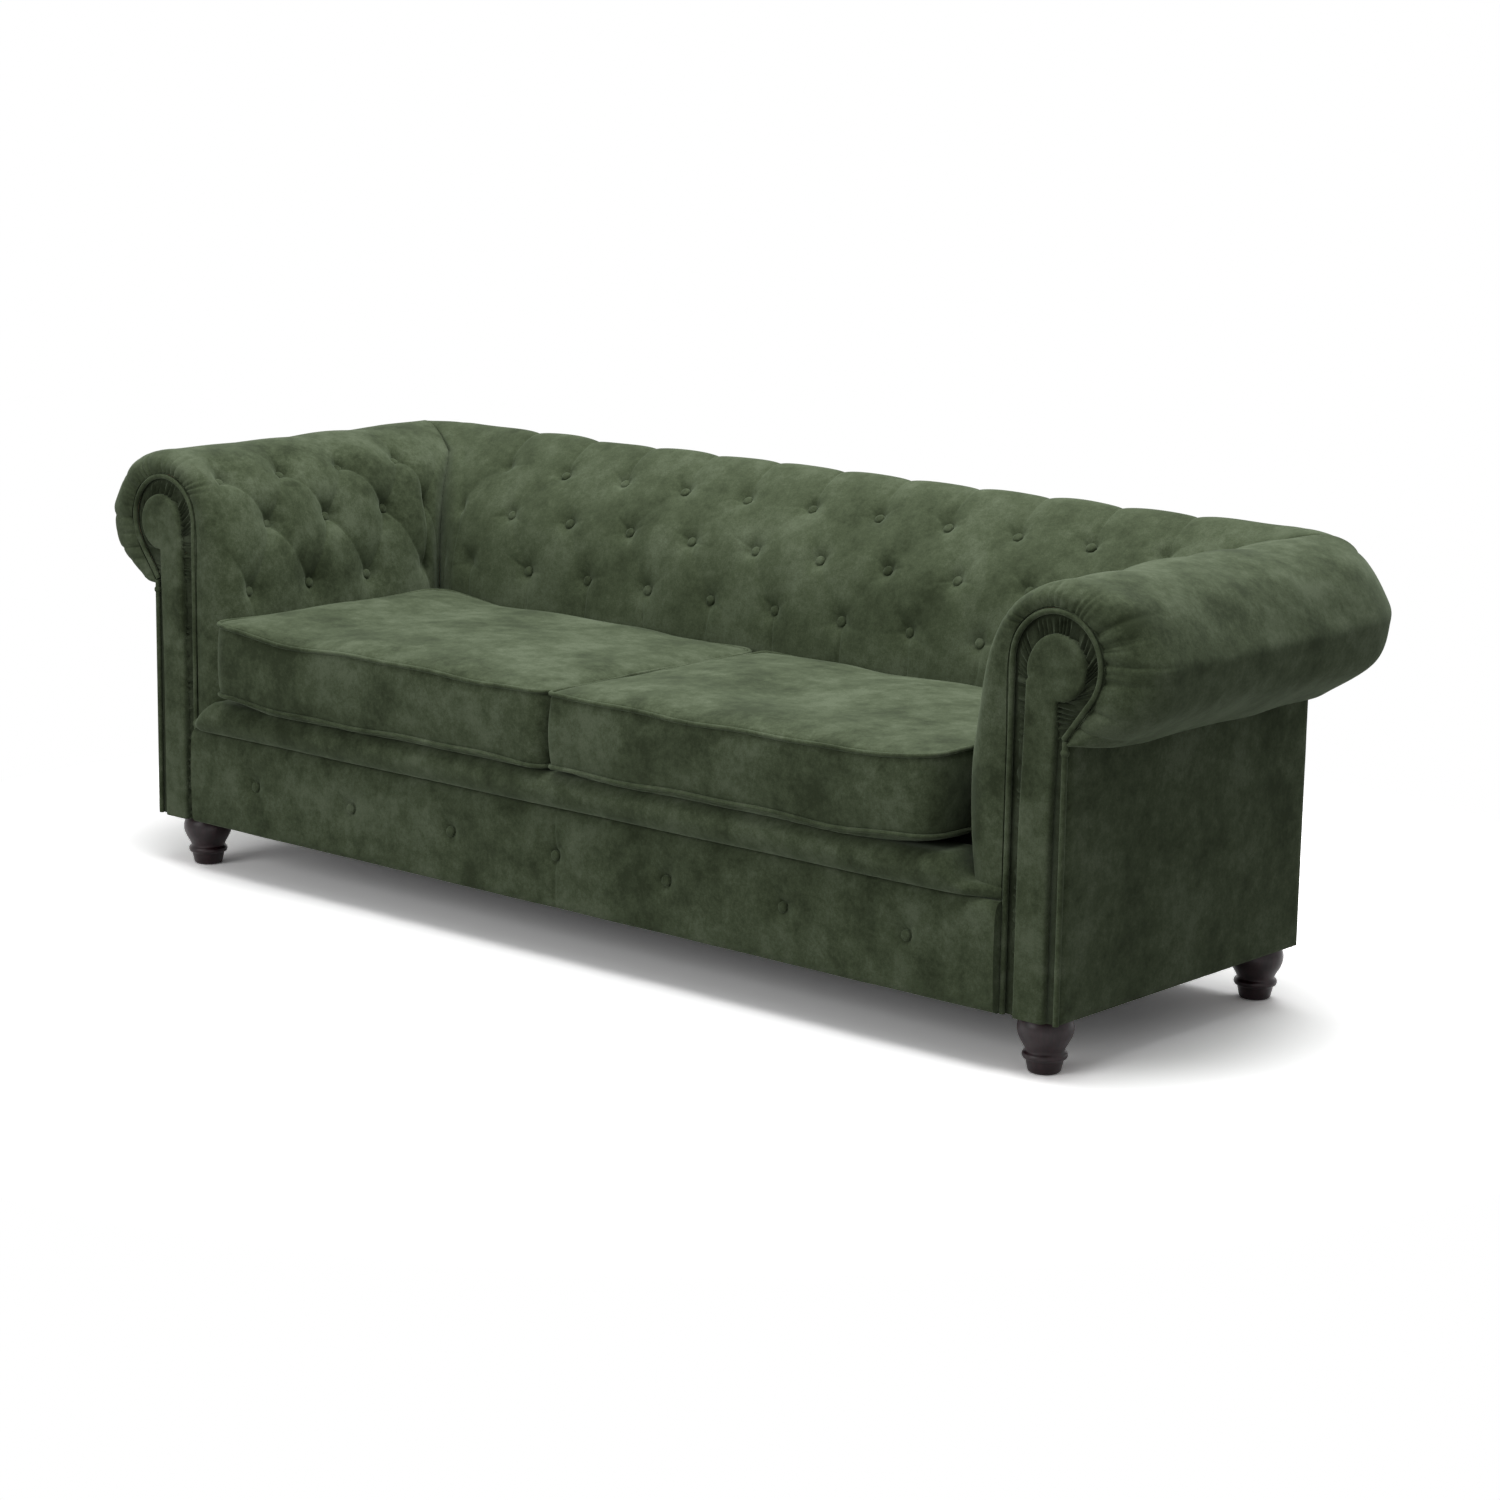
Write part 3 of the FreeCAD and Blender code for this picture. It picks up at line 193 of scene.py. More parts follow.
class Build:
    """Gathers points and faces for one mesh."""

    def __init__(self):
        self.points = []
        self.faces = []
        self.count = 0

    def add(self, points, faces):
        points = np.asarray(points, float).reshape(-1, 3)
        self.faces.extend([tuple(k + self.count for k in f) for f in faces])
        self.points.append(points)
        self.count += len(points)

    def grid(self, grid, around=False, closed=False, flip=False):
        rows, columns = grid.shape[:2]
        self.add(grid, grid_faces(rows, columns, 0, around, closed, flip))

    def loop_cap(self, loop, flip=False):
        n = len(loop)
        middle = np.mean(loop, axis=0)
        faces = [((k + 1) % n, k, n) if flip else (k, (k + 1) % n, n) for k in range(n)]
        self.add(np.vstack([loop, middle]), faces)

    def tube(self, path, radius, closed=False, sides=10, across=None):
        """Round cord along a path. radius is one number or one per point."""
        path = np.asarray(path, float)
        n = len(path)
        radius = np.broadcast_to(np.asarray(radius, float), (n,))
        if closed:
            along = np.roll(path, -1, axis=0) - np.roll(path, 1, axis=0)
        else:
            along = np.gradient(path, axis=0)
        along /= np.maximum(np.linalg.norm(along, axis=1, keepdims=True), 1e-12)
        up = np.array(across if across is not None else (0.0, 1.0, 0.0))
        side = np.cross(along, up)
        side /= np.maximum(np.linalg.norm(side, axis=1, keepdims=True), 1e-12)
        up = np.cross(side, along)
        turns = np.arange(sides) * 2 * math.pi / sides
        grid = (path[:, None] + radius[:, None, None]
                * (side[:, None] * np.cos(turns)[None, :, None] + up[:, None] * np.sin(turns)[None, :, None]))
        self.grid(grid, around=True, closed=closed, flip=True)
        if not closed:
            self.loop_cap(grid[0], flip=False)
            self.loop_cap(grid[-1], flip=True)

    def make(self, name, material):
        points = np.vstack(self.points) + np.array([0.0, FRONT, 0.0])
        mesh = bpy.data.meshes.new(name)
        mesh.from_pydata(points.tolist(), [], self.faces)
        mesh.validate()
        mesh.update()
        mesh.polygons.foreach_set("use_smooth", [True] * len(mesh.polygons))
        mesh.materials.append(material)
        obj = bpy.data.objects.new(name, mesh)
        bpy.context.scene.collection.objects.link(obj)
        return obj


def edge_strips(build, face, back, flip=False):
    """Adds the four strips between the edges of a sheet's face and back."""
    for a, b, turn in ((face[0], back[0], flip), (face[-1], back[-1], not flip),
                       (face[:, 0], back[:, 0], not flip), (face[:, -1], back[:, -1], flip)):
        build.grid(np.array([a, b]), flip=turn)


def mirrored(rows):
    """The rows before the middle one, as mirror images of those after it, in order."""
    return rows[:0:-1] * np.array([-1.0, 1.0, 1.0])


# Materials

def new_material(name):
    mat = bpy.data.materials.new(name)
    mat.use_nodes = True
    return mat, mat.node_tree, mat.node_tree.nodes["Principled BSDF"]


def link(tree, a, b):
    tree.links.new(a, b)


def noise(tree, coords, scale, detail=4.0, rough=0.55, stretch=None):
    n = tree.nodes.new("ShaderNodeTexNoise")
    n.inputs["Scale"].default_value = scale
    n.inputs["Detail"].default_value = detail
    n.inputs["Roughness"].default_value = rough
    if stretch:
        m = tree.nodes.new("ShaderNodeMapping")
        m.inputs["Scale"].default_value = stretch
        link(tree, coords, m.inputs["Vector"])
        link(tree, m.outputs["Vector"], n.inputs["Vector"])
    else:
        link(tree, coords, n.inputs["Vector"])
    return n.outputs["Fac"]


def ramp(tree, value, stops):
    r = tree.nodes.new("ShaderNodeValToRGB")
    elements = r.color_ramp.elements
    while len(elements) < len(stops):
        elements.new(0.5)
    for element, (place, colour) in zip(elements, stops):
        element.position = place
        element.color = (*colour, 1.0)
    link(tree, value, r.inputs["Fac"])
    return r.outputs["Color"]


def mix(tree, kind, factor, a, b):
    m = tree.nodes.new("ShaderNodeMix")
    m.data_type = "RGBA"
    m.blend_type = kind
    m.inputs[0].default_value = factor
    link(tree, a, m.inputs[6])
    if isinstance(b, tuple):
        m.inputs[7].default_value = (*b, 1.0)
    else:
        link(tree, b, m.inputs[7])
    return m.outputs[2]


def maths(tree, kind, a, b):
    m = tree.nodes.new("ShaderNodeMath")
    m.operation = kind
    for socket, value in zip(m.inputs, (a, b)):
        if isinstance(value, (int, float)):
            socket.default_value = value
        else:
            link(tree, value, socket)
    return m.outputs[0]


def velvet(name, lift=1.0, contrast=1.0):
    """Crushed dark green velvet with lighter and darker patches and a fine pile."""
    mat, tree, bsdf = new_material(name)
    coords = tree.nodes.new("ShaderNodeTexCoord").outputs["Object"]
    big = noise(tree, coords, 8.0, 3.0, 0.60)
    mid = noise(tree, coords, 34.0, 5.0, 0.66)
    fine = noise(tree, coords, 420.0, 2.0, 0.6)
    weave = noise(tree, coords, 150.0, 2.0, 0.5)
    blotch = maths(tree, "ADD", maths(tree, "MULTIPLY", big, 0.52), maths(tree, "MULTIPLY", mid, 0.34))
    blotch = maths(tree, "ADD", blotch, maths(tree, "MULTIPLY", weave, 0.14))
    dark = tuple(c * lift for c in (0.030, 0.040, 0.019))
    base = tuple(c * lift for c in (0.062, 0.080, 0.043))
    pale = tuple(c * lift for c in (0.104, 0.128, 0.079))
    wide = 0.110 / contrast
    colour = ramp(tree, blotch, [(0.5 - wide, dark), (0.5, base), (0.5 + wide, pale)])
    speck = ramp(tree, fine, [(0.3, (0.74, 0.74, 0.74)), (0.7, (1.0, 1.0, 1.0))])
    colour = mix(tree, "MULTIPLY", 1.0, colour, speck)
    link(tree, colour, bsdf.inputs["Base Color"])
    bsdf.inputs["Roughness"].default_value = 0.9
    bsdf.inputs["Specular IOR Level"].default_value = 0.08
    bsdf.inputs["Sheen Weight"].default_value = 0.18
    bsdf.inputs["Sheen Roughness"].default_value = 0.5
    bsdf.inputs["Sheen Tint"].default_value = (0.66, 0.80, 0.58, 1.0)
    bump = tree.nodes.new("ShaderNodeBump")
    bump.inputs["Strength"].default_value = 0.22
    bump.inputs["Distance"].default_value = 0.002
    link(tree, maths(tree, "ADD", mid, maths(tree, "MULTIPLY", fine, 0.2)), bump.inputs["Height"])
    link(tree, bump.outputs["Normal"], bsdf.inputs["Normal"])
    return mat


def plain(name, colour, rough, metallic=0.0, grain=None, shine=0.5):
    mat, tree, bsdf = new_material(name)
    bsdf.inputs["Roughness"].default_value = rough
    bsdf.inputs["Metallic"].default_value = metallic
    bsdf.inputs["Specular IOR Level"].default_value = shine
    coords = tree.nodes.new("ShaderNodeTexCoord").outputs["Object"]
    scale, stretch, spread = grain or (60.0, None, 0.12)
    value = noise(tree, coords, scale, 4.0, 0.6, stretch)
    dark = tuple(c * (1 - spread) for c in colour)
    pale = tuple(min(c * (1 + spread), 1.0) for c in colour)
    link(tree, ramp(tree, value, [(0.35, dark), (0.65, pale)]), bsdf.inputs["Base Color"])
    return mat


VELVET = velvet("green_velvet")
VELVET_CALM = velvet("green_velvet_calm", 1.02, 0.72)
# A darker copy of the velvet, at 0.55 of its colour: painted shade for the recessed ruched band and the plain
# strip beside it.
VELVET_PAINTED_SHADE = velvet("green_velvet_painted_shade", 0.55)
FOAM = plain("foam", (0.72, 0.68, 0.52), 0.95)
CLOTH = plain("dark_cloth", (0.022, 0.022, 0.022), 0.95, grain=(400.0, None, 0.3))
TIMBER = plain("frame_wood", (0.50, 0.36, 0.21), 0.7, grain=(9.0, (1.0, 12.0, 12.0), 0.25))
STAIN = plain("stained_wood", (0.016, 0.006, 0.008), 0.34, grain=(30.0, (3.0, 3.0, 0.6), 0.5), shine=0.3)
STEEL = plain("steel", (0.55, 0.55, 0.55), 0.35, metallic=1.0)
SLOTS = {"green_velvet": VELVET, "foam": FOAM, "dark_cloth": CLOTH, "frame_wood": TIMBER,
         "stained_wood": STAIN, "steel": STEEL}
for entry in frame["record"]["subparts"]:
    shown = nodes[entry["node"]]
    shown.data.materials.clear()
    shown.data.materials.append(SLOTS[entry["material_slot"]])


def add_piece(build, name, material, *stands_for, slot_name="green_velvet", body="sofa_frame", fill=None):
    """Makes a visible piece of a body in place of the nodes it stands for. fill is not used."""
    made = build.make(name, material)
    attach(made, body)
    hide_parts(*stands_for)


# Sections of the arm and back pads

def section_keys(face, outermost, shape, end):
    keys = [(face, PAD_BOTTOM_Z), (face, FACE_MID_Z)]
    keys += [(lerp(face, outermost, u), lerp(NOTCH_Z, ROLL_TOP_Z, v)) for u, v in shape]
    return keys + [(end, NOTCH_Z)]


def ring_point(degrees, radius=BOARD_R):
    a = math.radians(degrees)
    return (SCROLL_X + radius * math.cos(a), SCROLL_Z + radius * math.sin(a))


def scroll_foot(radius):
    """Where the scroll's arc ends, and where the straight tail after it would meet the outer side."""
    a = math.radians(-SCROLL_END)
    start = ring_point(-SCROLL_END, radius)
    edge = SIDE_OUT - (BOARD_R - radius)
    fall = (start[0] - edge) * math.cos(a) / -math.sin(a)
    return start, (edge, start[1] - fall)


def between(a, b, t):
    return (lerp(a[0], b[0], t), lerp(a[1], b[1], t))


BOARD_INNER = SCROLL_X - BOARD_R
TAIL_START, TAIL_END = scroll_foot(BOARD_R)
ARM_CORE = [(BOARD_INNER, PAD_BOTTOM_Z), (BOARD_INNER, FACE_MID_Z), (BOARD_INNER, NOTCH_Z),
            ring_point(172), ring_point(128), ring_point(90), ring_point(45), ring_point(12),
            ring_point(-5), TAIL_START, between(TAIL_START, TAIL_END, 0.6),
            between(TAIL_START, TAIL_END, 0.85), TAIL_END]
BACK_TIMBER = BASE_DEPTH - 0.004
CORE_FRONT = BACK_FACE + 0.055


def head_point(degrees):
    a = math.radians(degrees)
    return (ROLL_REAR - 0.085 + 0.056 * math.cos(a), ROLL_TOP_Z - 0.105 + 0.056 * math.sin(a))


BACK_CORE = [(CORE_FRONT, PAD_BOTTOM_Z), (CORE_FRONT, FACE_MID_Z), (CORE_FRONT + 0.014, NOTCH_Z),
             (CORE_FRONT + 0.048, NOTCH_Z + 0.09), head_point(140), head_point(90), head_point(50),
             head_point(15), head_point(-5), head_point(-40),
             (lerp(head_point(-40)[0], BACK_TIMBER, 0.6), NOTCH_Z + 0.04),
             (lerp(head_point(-40)[0], BACK_TIMBER, 0.85), NOTCH_Z + 0.022),
             (BACK_TIMBER, NOTCH_Z + 0.012)]
# Below the cushion an arm's padding narrows and goes on down to the rail.
ARM_CORE[0] = (BOARD_INNER, 0.2655)
ARM_SKIN = section_keys(ARM_INNER, ROLL_OUTER, ARM_SHAPE, SIDE_OUT + 0.0005)
ARM_SKIN[0] = (ARM_INNER + 0.018, 0.270)
BACK_SKIN = section_keys(BACK_FACE, ROLL_REAR, BACK_SHAPE, BACK_TIMBER + 0.0005)
Q_STEP = 0.0030
Q = places(ARM_SKIN, Q_STEP)
arm_skin, arm_core = spline(ARM_SKIN, Q), spline(ARM_CORE, Q)
back_skin, back_core = spline(BACK_SKIN, Q), spline(BACK_CORE, Q)


def path_length(line):
    return np.concatenate([[0.0], np.cumsum(np.linalg.norm(np.diff(line, axis=0), axis=1))])


def row_places(line):
    """Rows of buttons counted up the section (0, 1, 2), going on below and above by length."""
    run = path_length(line)
    at = [np.interp(k, Q, run) for k in (2, 3, 4)]
    height = (at[2] - at[0]) / 2
    v = np.where(Q < 2, (run - at[0]) / height, np.where(Q > 4, 2 + (run - at[2]) / height, Q - 2))
    return v, height


ARM_V, ARM_ROW = row_places(arm_skin)
BACK_V, BACK_ROW = row_places(back_skin)
TURN = np.clip((Q - 4) / 2, 0.0, 1.0)      # 0 mitred crease, 1 turned round the corner
EDGES = smooth(0.0, 0.25, Q) * (1 - smooth(11.6, 12.0, Q))      # 0 at both edges of a cover


def nearest_button(u, v, half_pitch, row, seed, levels=(0, 1, 2)):
    """Distance and direction to the nearest button, and a number of its own from 0 to 1."""
    reach = np.full(np.broadcast(u, v).shape, 9.0)
    turn, own = np.zeros(reach.shape), np.zeros(reach.shape)
    for level in levels:
        near = u - level - 2 * np.round((u - level) / 2)
        across, up = near * half_pitch, (v - level) * row
        r = np.hypot(across, up)
        closer = r < reach
        column = np.round((u - level) / 2) * 2 + level
        reach = np.where(closer, r, reach)
        turn = np.where(closer, np.arctan2(up, across), turn)
        own = np.where(closer, np.sin(column * 12.9898 + level * 78.233 + seed) * 43758.5453 % 1.0, own)
    return reach, turn, own


def pinches(reach, turn, own, ways, length, width):
    """Short sharp creases that run out from each button; 1 at their deepest."""
    total = np.zeros(reach.shape)
    for k, (way, size) in enumerate(ways):
        angle = way + 0.5 * np.sin(own * 40.0 + k * 2.3)
        off = np.abs((turn - angle + math.pi) % (2 * math.pi) - math.pi) * reach
        far = length * (0.7 + 0.6 * np.abs(np.sin(own * 23.0 + k)))
        ahead = np.cos(turn - angle) > 0
        total += size * np.where(ahead, np.exp(-off / width) * np.exp(-(reach / far) ** 2), 0.0)
    return np.clip(total, 0.0, 1.3) * smooth(0.003, 0.009, reach)


def arm_tufts(u, v, half_pitch, row, seed):
    """Depth of the deep buttoning of the arms: u half pitches along, v rows up."""
    inside = np.clip(v, 0.0, 2.0)
    a, b = (u + inside) / 2, (u - inside) / 2
    da, db = np.abs(a - np.round(a)), np.abs(b - np.round(b))
    hill = np.sin(math.pi * da) * np.sin(math.pi * db)
    reach, turn, own = nearest_button(u, v, half_pitch, row, seed)
    steep = math.sqrt(1 / half_pitch ** 2 + 1 / row ** 2)
    off = (v < 0) | (v > 2)
    crease = np.minimum(da, db) * 2 * np.where(off, half_pitch, 1 / steep)
    fade = np.where(v < 0, np.maximum(1 + v / 2.4, 0.25), np.clip(1 - (v - 2) / 2.3, 0.0, 1.0))
    close = np.exp(-(reach / 0.042) ** 2)
    depth = fade * (0.0055 + 0.0115 * close) * (1 - hill ** 0.75)
    depth += fade * (0.0008 + 0.0042 * close) * np.exp(-crease / 0.0028)
    depth += 0.013 * np.exp(-(reach / 0.014) ** 2) + 0.0075 * np.exp(-(reach / 0.034) ** 2)
    ways = ((0.0, 0.5), (1.57, 0.4), (3.1, 0.5), (-1.57, 0.5))
    depth += 0.0030 * pinches(reach, turn, own, ways, 0.024, 0.0024)
    return 0.70 * depth * lerp(LOW_ROW, 1.0, smooth(0.0, 1.0, v))


def back_tufts(u, v, half_pitch, row, seed):
    """Depth of the soft buttoning of the back, with pleats down to the seat and over the crest."""
    inside = np.clip(v, 0.0, 2.0)
    a, b = (u + inside) / 2, (u - inside) / 2
    hill = np.abs(np.sin(math.pi * a) * np.sin(math.pi * b)) ** 0.8
    reach, turn, own = nearest_button(u, v, half_pitch, row, seed)
    beside = np.abs(u - 2 * np.round(u / 2)) * half_pitch
    wave = np.sin(math.pi * np.abs(u) / 2) ** 2
    middle = (v >= 0) & (v <= 2)
    depth = np.where(middle, 0.0022 * (1 - hill), 0.0)
    low = np.clip(-v, 0.0, 9.0)
    bent = np.abs(u + 0.10 * np.sin(low * 1.7 + own * 6.0) - 2 * np.round(u / 2)) * half_pitch
    depth = depth + np.where(v < 0, 0.0022 * (1 - wave ** 0.6)
                             + 0.0045 * np.exp(-bent / 0.0020) * np.clip(low * 3, 0, 1), 0.0)
    over = np.clip(v - 2, 0.0, 9.0)
    crest = np.exp(-((over - 1.25) / 0.95) ** 2)
    depth = depth + np.where(v > 2, 0.0022 * (1 - hill) * np.clip(1 - over * 2, 0, 1)
                             + 0.0075 * crest * (1 - np.abs(np.sin(math.pi * u / 2)) ** 0.42)
                             + 0.0012 * np.exp(-beside / 0.0024) * np.exp(-(over / 1.4) ** 2), 0.0)
    depth += 0.0072 * np.exp(-(reach / 0.0125) ** 2) + 0.0058 * np.exp(-(reach / 0.024) ** 2)
    ways = ((0.1, 0.9), (3.0, 1.0), (2.2, 0.8), (0.9, 0.5), (-2.4, 0.45), (-1.2, 0.5))
    return depth + 0.0024 * pinches(reach, turn, own, ways, 0.034, 0.0022)


def full_share(y):
    t = np.clip((y - COVER_START) / END_ROUND, 0.0, 1.0)
    return (1.0 - (1.0 - t) ** END_BLUNT) ** (1 / END_BLUNT)


CORNER_SHARES = np.linspace(0, 1, 51)[1:]


def corner_rows(skin, other_skin, start, shares):
    """Surface rows round a rear corner, at each share of the way to the mitre."""
    own, other = skin[:, 0], other_skin[:, 0]
    r_mid = (own + other) / 2
    rows = []
    for t in shares:
        z = lerp(skin[:, 1], (skin[:, 1] + other_skin[:, 1]) / 2, t)
        arc = np.abs(r_mid) * math.pi / 4
        run = t * (arc - start)
        angle = np.clip((run + start) / np.maximum(arc, 1e-6), 0.0, None) * math.pi / 4
        radius = lerp(own, r_mid, angle / (math.pi / 4))
        full = np.abs(np.cos(angle)) ** CORNER_FULL + np.abs(np.sin(angle)) ** CORNER_FULL
        radius = radius * lerp(1.0, full ** (-1 / CORNER_FULL), smooth(4.0, 6.0, Q))
        straight = run < -start
        turn_a = np.where(straight, own, radius * np.cos(angle))
        turn_b = np.where(straight, start + run, radius * np.sin(angle))
        a = lerp(own, turn_a, TURN)
        b = lerp(lerp(start, other, t), turn_b, TURN)
        rows.append(np.stack([a, b, z], axis=-1))
    return np.array(rows)


def turned_corner(skin, axis, other_skin, other_axis, end):
    """Rows round the rear corner after a straight stretch that ends at end, seen along that stretch."""
    rows = corner_rows(skin - np.array([axis, 0.0]), other_skin - np.array([other_axis, 0.0]),
                       end - other_axis, CORNER_SHARES)
    return axis + rows[..., 0], other_axis + rows[..., 1], rows[..., 2]


def arm_surface():
    """Smooth surface of the right arm, its stations, and how far each is turned to the mitre."""
    turn = np.linspace(0, math.pi / 2, 42)[:-1, None]
    front = COVER_START + END_ROUND * (1 - np.cos(turn) ** (2 / END_BLUNT))
    share = lerp(-0.06, 1.0, np.sin(turn) ** (2 / END_BLUNT))
    front = front - 0.004 * np.sin(math.pi * np.clip(share, 0, 1))
    rest = np.linspace(COVER_START + END_ROUND, ARM_LAST, 150)[:, None]
    ys = np.concatenate([front, rest])
    share = np.concatenate([share, np.ones(rest.shape)])
    x = arm_core[None, :, 0] + (arm_skin - arm_core)[None, :, 0] * share
    z = arm_core[None, :, 1] + (arm_skin - arm_core)[None, :, 1] * share
    straight = np.stack([x, np.broadcast_to(ys, x.shape), z], axis=-1)
    x, y, z = turned_corner(arm_skin, AXIS_X, back_skin, AXIS_Y, ARM_LAST)
    return with_corner(straight, ys[:, 0], np.stack([x, y, z], axis=-1))


def back_surface():
    """The same for the right half of the back."""
    xs = np.linspace(0, BACK_END, 257)
    y = np.broadcast_to(back_skin[None, :, 0], (len(xs), len(Q)))
    z = np.broadcast_to(back_skin[None, :, 1], y.shape)
    straight = np.stack([np.broadcast_to(xs[:, None], y.shape), y, z], axis=-1)
    y, x, z = turned_corner(back_skin, AXIS_Y, arm_skin, AXIS_X, BACK_END)
    return with_corner(straight, xs, np.stack([x, y, z], axis=-1))


def with_corner(straight, stations, corner):
    run = stations[-1] + CORNER_SHARES * 0.16
    turned = np.concatenate([np.zeros(len(stations)), CORNER_SHARES])
    return np.concatenate([straight, corner]), np.concatenate([stations, run]), turned


def outward(surface):
    """Unit normals that point out of the padding."""
    n = grid_normals(surface)
    probe = n[len(n) // 2, np.searchsorted(Q, 5.0)]
    return n if probe[2] > 0 else -n


def arm_depth(stations, turned, surface, seed):
    s = stations[:, None]
    depth = arm_tufts((s - ARM_FIRST) / (ARM_PITCH / 2), ARM_V[None, :], ARM_PITCH / 2, ARM_ROW, seed)
    depth = depth * smooth(COVER_START, COVER_START + END_ROUND, s) * (1 - smooth(0.25, 1.0, turned[:, None]))
    # Short gathers where the cover meets the scroll piping, and long creases down the outer side.
    around = path_length(arm_core)[None, :]
    ring = smooth(3.0, 3.6, Q)[None, :] * (1 - 0.7 * smooth(7.5, 9.0, Q)[None, :])
    phase = around / 0.0125 + 0.5 * np.sin(around * 47.0 + seed) + 0.35 * np.sin(around * 113.0 + 2 * seed)
    number = np.floor(phase)
    size = np.abs(np.sin(number * 2.4 + seed))
    path = np.linalg.norm(np.diff(surface, axis=0, prepend=surface[:1]), axis=2).cumsum(axis=0)
    fold = np.exp(-np.abs(phase - number - 0.5) * 0.0125 / 0.0022)
    depth = depth + 0.0044 * (0.3 + 0.7 * size) * ring * fold * np.exp(-(path / (0.018 + 0.030 * size)) ** 2)
    outer = smooth(5.6, 6.4, Q)[None, :] * (1 - smooth(9.6, 10.4, Q)[None, :])
    phase = around / 0.031 + 0.35 * np.sin(around * 40.0 + seed)
    number = np.round(phase)
    long = 0.040 + 0.045 * np.abs(np.sin(number * 1.7 + 2.0 * seed))
    slant = phase + 1.3 * path * np.sin(number * 3.1)
    fold = np.exp(-np.abs(slant - number) * 0.031 / 0.0034)
    return depth + 0.0062 * outer * fold * np.exp(-(path / long) ** 2)


def valley(surface, turned):
    """Deep closed fold where an arm pad meets the back pad: both sink towards the corner."""
    gap = (1 - turned[:, None]) * np.linalg.norm(surface[-1] - surface[turned <= 0][-1], axis=1)[None, :]
    low = 1 - smooth(0.42, 0.72, surface[..., 2])
    deep = np.where(turned[:, None] > 0, (0.020 + 0.026 * low) * np.exp(-gap / (0.009 + 0.016 * low)), 0.0)
    deep = deep * (1 - TURN[None, :]) * smooth(0.0, 0.25, Q)[None, :]
    way = np.stack([np.sign(surface[..., 0]) * 0.7, np.full(deep.shape, 0.7), np.zeros(deep.shape)], axis=-1)
    return way * deep[..., None]


def add_back_side(build, outer, inner, step=6):
    """Closes a padded skin with a plain lining behind it."""
    picks = list(range(0, outer.shape[1], step))
    if picks[-1] != outer.shape[1] - 1:
        picks.append(outer.shape[1] - 1)
    build.grid(inner[:, picks], flip=True)
    build.grid(np.stack([outer[:, 0], inner[:, 0]], axis=1), flip=True)
    build.grid(np.stack([outer[:, -1], inner[:, -1]], axis=1))
    build.grid(np.stack([outer[0], inner[0]], axis=0), flip=True)
    build.grid(np.stack([outer[-1], inner[-1]], axis=0))


def arm_pad(side):
    seed = 1.3 if side > 0 else 4.1
    surface, stations, turned = arm_surface()
    normals = outward(surface)
    depth = arm_depth(stations, turned, surface, seed)
    depth += 0.0014 * lumps(int(seed * 10), surface, 0.16) * (full_share(stations) * (1 - turned))[:, None]
    skin = surface - normals * (depth * EDGES)[..., None] + valley(surface, turned)
    core = surface.copy()
    core[..., 0], core[..., 2] = arm_core[:, 0], arm_core[:, 1]
    corner = turned > 0
    core[corner] = surface[corner] - normals[corner] * CORNER_THICK
    return skin, core, surface, normals, stations


def button_spots(surface, normals, stations, places_along, row):
    """Where the buttons of one row sit on the undented surface, each with its outward normal."""
    column = np.searchsorted(Q, row + 2 - 1e-9)
    spots = []
    for place in places_along:
        i = int(np.argmin(np.abs(stations - place)))
        spots.append((surface[i, column], normals[i, column]))
    return spots


# Radius and height of a covered button from its rim up to its middle, as shares of BUTTON_R.
BUTTON_DOME = [(1.0, -0.2), (1.03, 0.12), (0.98, 0.32), (0.86, 0.46), (0.66, 0.56), (0.4, 0.62),
               (0.15, 0.645)]


def add_button(build, spot, normal, sink):
    normal = normal / np.linalg.norm(normal)
    a = np.cross(normal, (0.0, 0.0, 1.0))
    if np.linalg.norm(a) < 0.1:
        a = np.cross(normal, (1.0, 0.0, 0.0))
    a /= np.linalg.norm(a)
    b = np.cross(normal, a)
    turns = np.arange(20) * 2 * math.pi / 20
    centre = spot - normal * sink
    around = np.cos(turns)[:, None] * a + np.sin(turns)[:, None] * b
    grid = np.array([centre + BUTTON_R * (normal * up + around * out) for out, up in BUTTON_DOME])
    build.grid(grid, around=True)
    build.loop_cap(grid[-1])
    build.loop_cap(grid[0], flip=True)


ARM_SINK = 0.0265
BACK_SINK = 0.0130

for side, word in ((1, "right"), (-1, "left")):
    skin, core, surface, normals, stations = arm_pad(side)
    flip = np.array([side, 1.0, 1.0])
    pad = Build()
    pad.grid(skin * flip, flip=side < 0)
    if side > 0:
        add_back_side(pad, skin, core)
    else:
        other = Build()
        add_back_side(other, skin, core)
        pad.add(np.vstack(other.points) * flip, [f[::-1] for f in other.faces])
    add_piece(pad, "arm_pad_" + word, VELVET, "arm_cover_" + word, "arm_foam_" + word, fill=0.85)
    buttons = Build()
    for row in (0, 1, 2):
        first = ARM_FIRST + (ARM_PITCH / 2 if row == 1 else 0.0)
        along = [first + ARM_PITCH * n for n in range(4 if row == 2 else 3)]
        for spot, normal in button_spots(surface, normals, stations, along, row):
            sink = ARM_SINK * (LOW_ROW if row == 0 else 1.0) * float(full_share(spot[1])) ** 2
            add_button(buttons, spot * flip, normal * flip, sink)
    add_piece(buttons, "arm_button_set_" + word, VELVET, "arm_buttons_" + word)

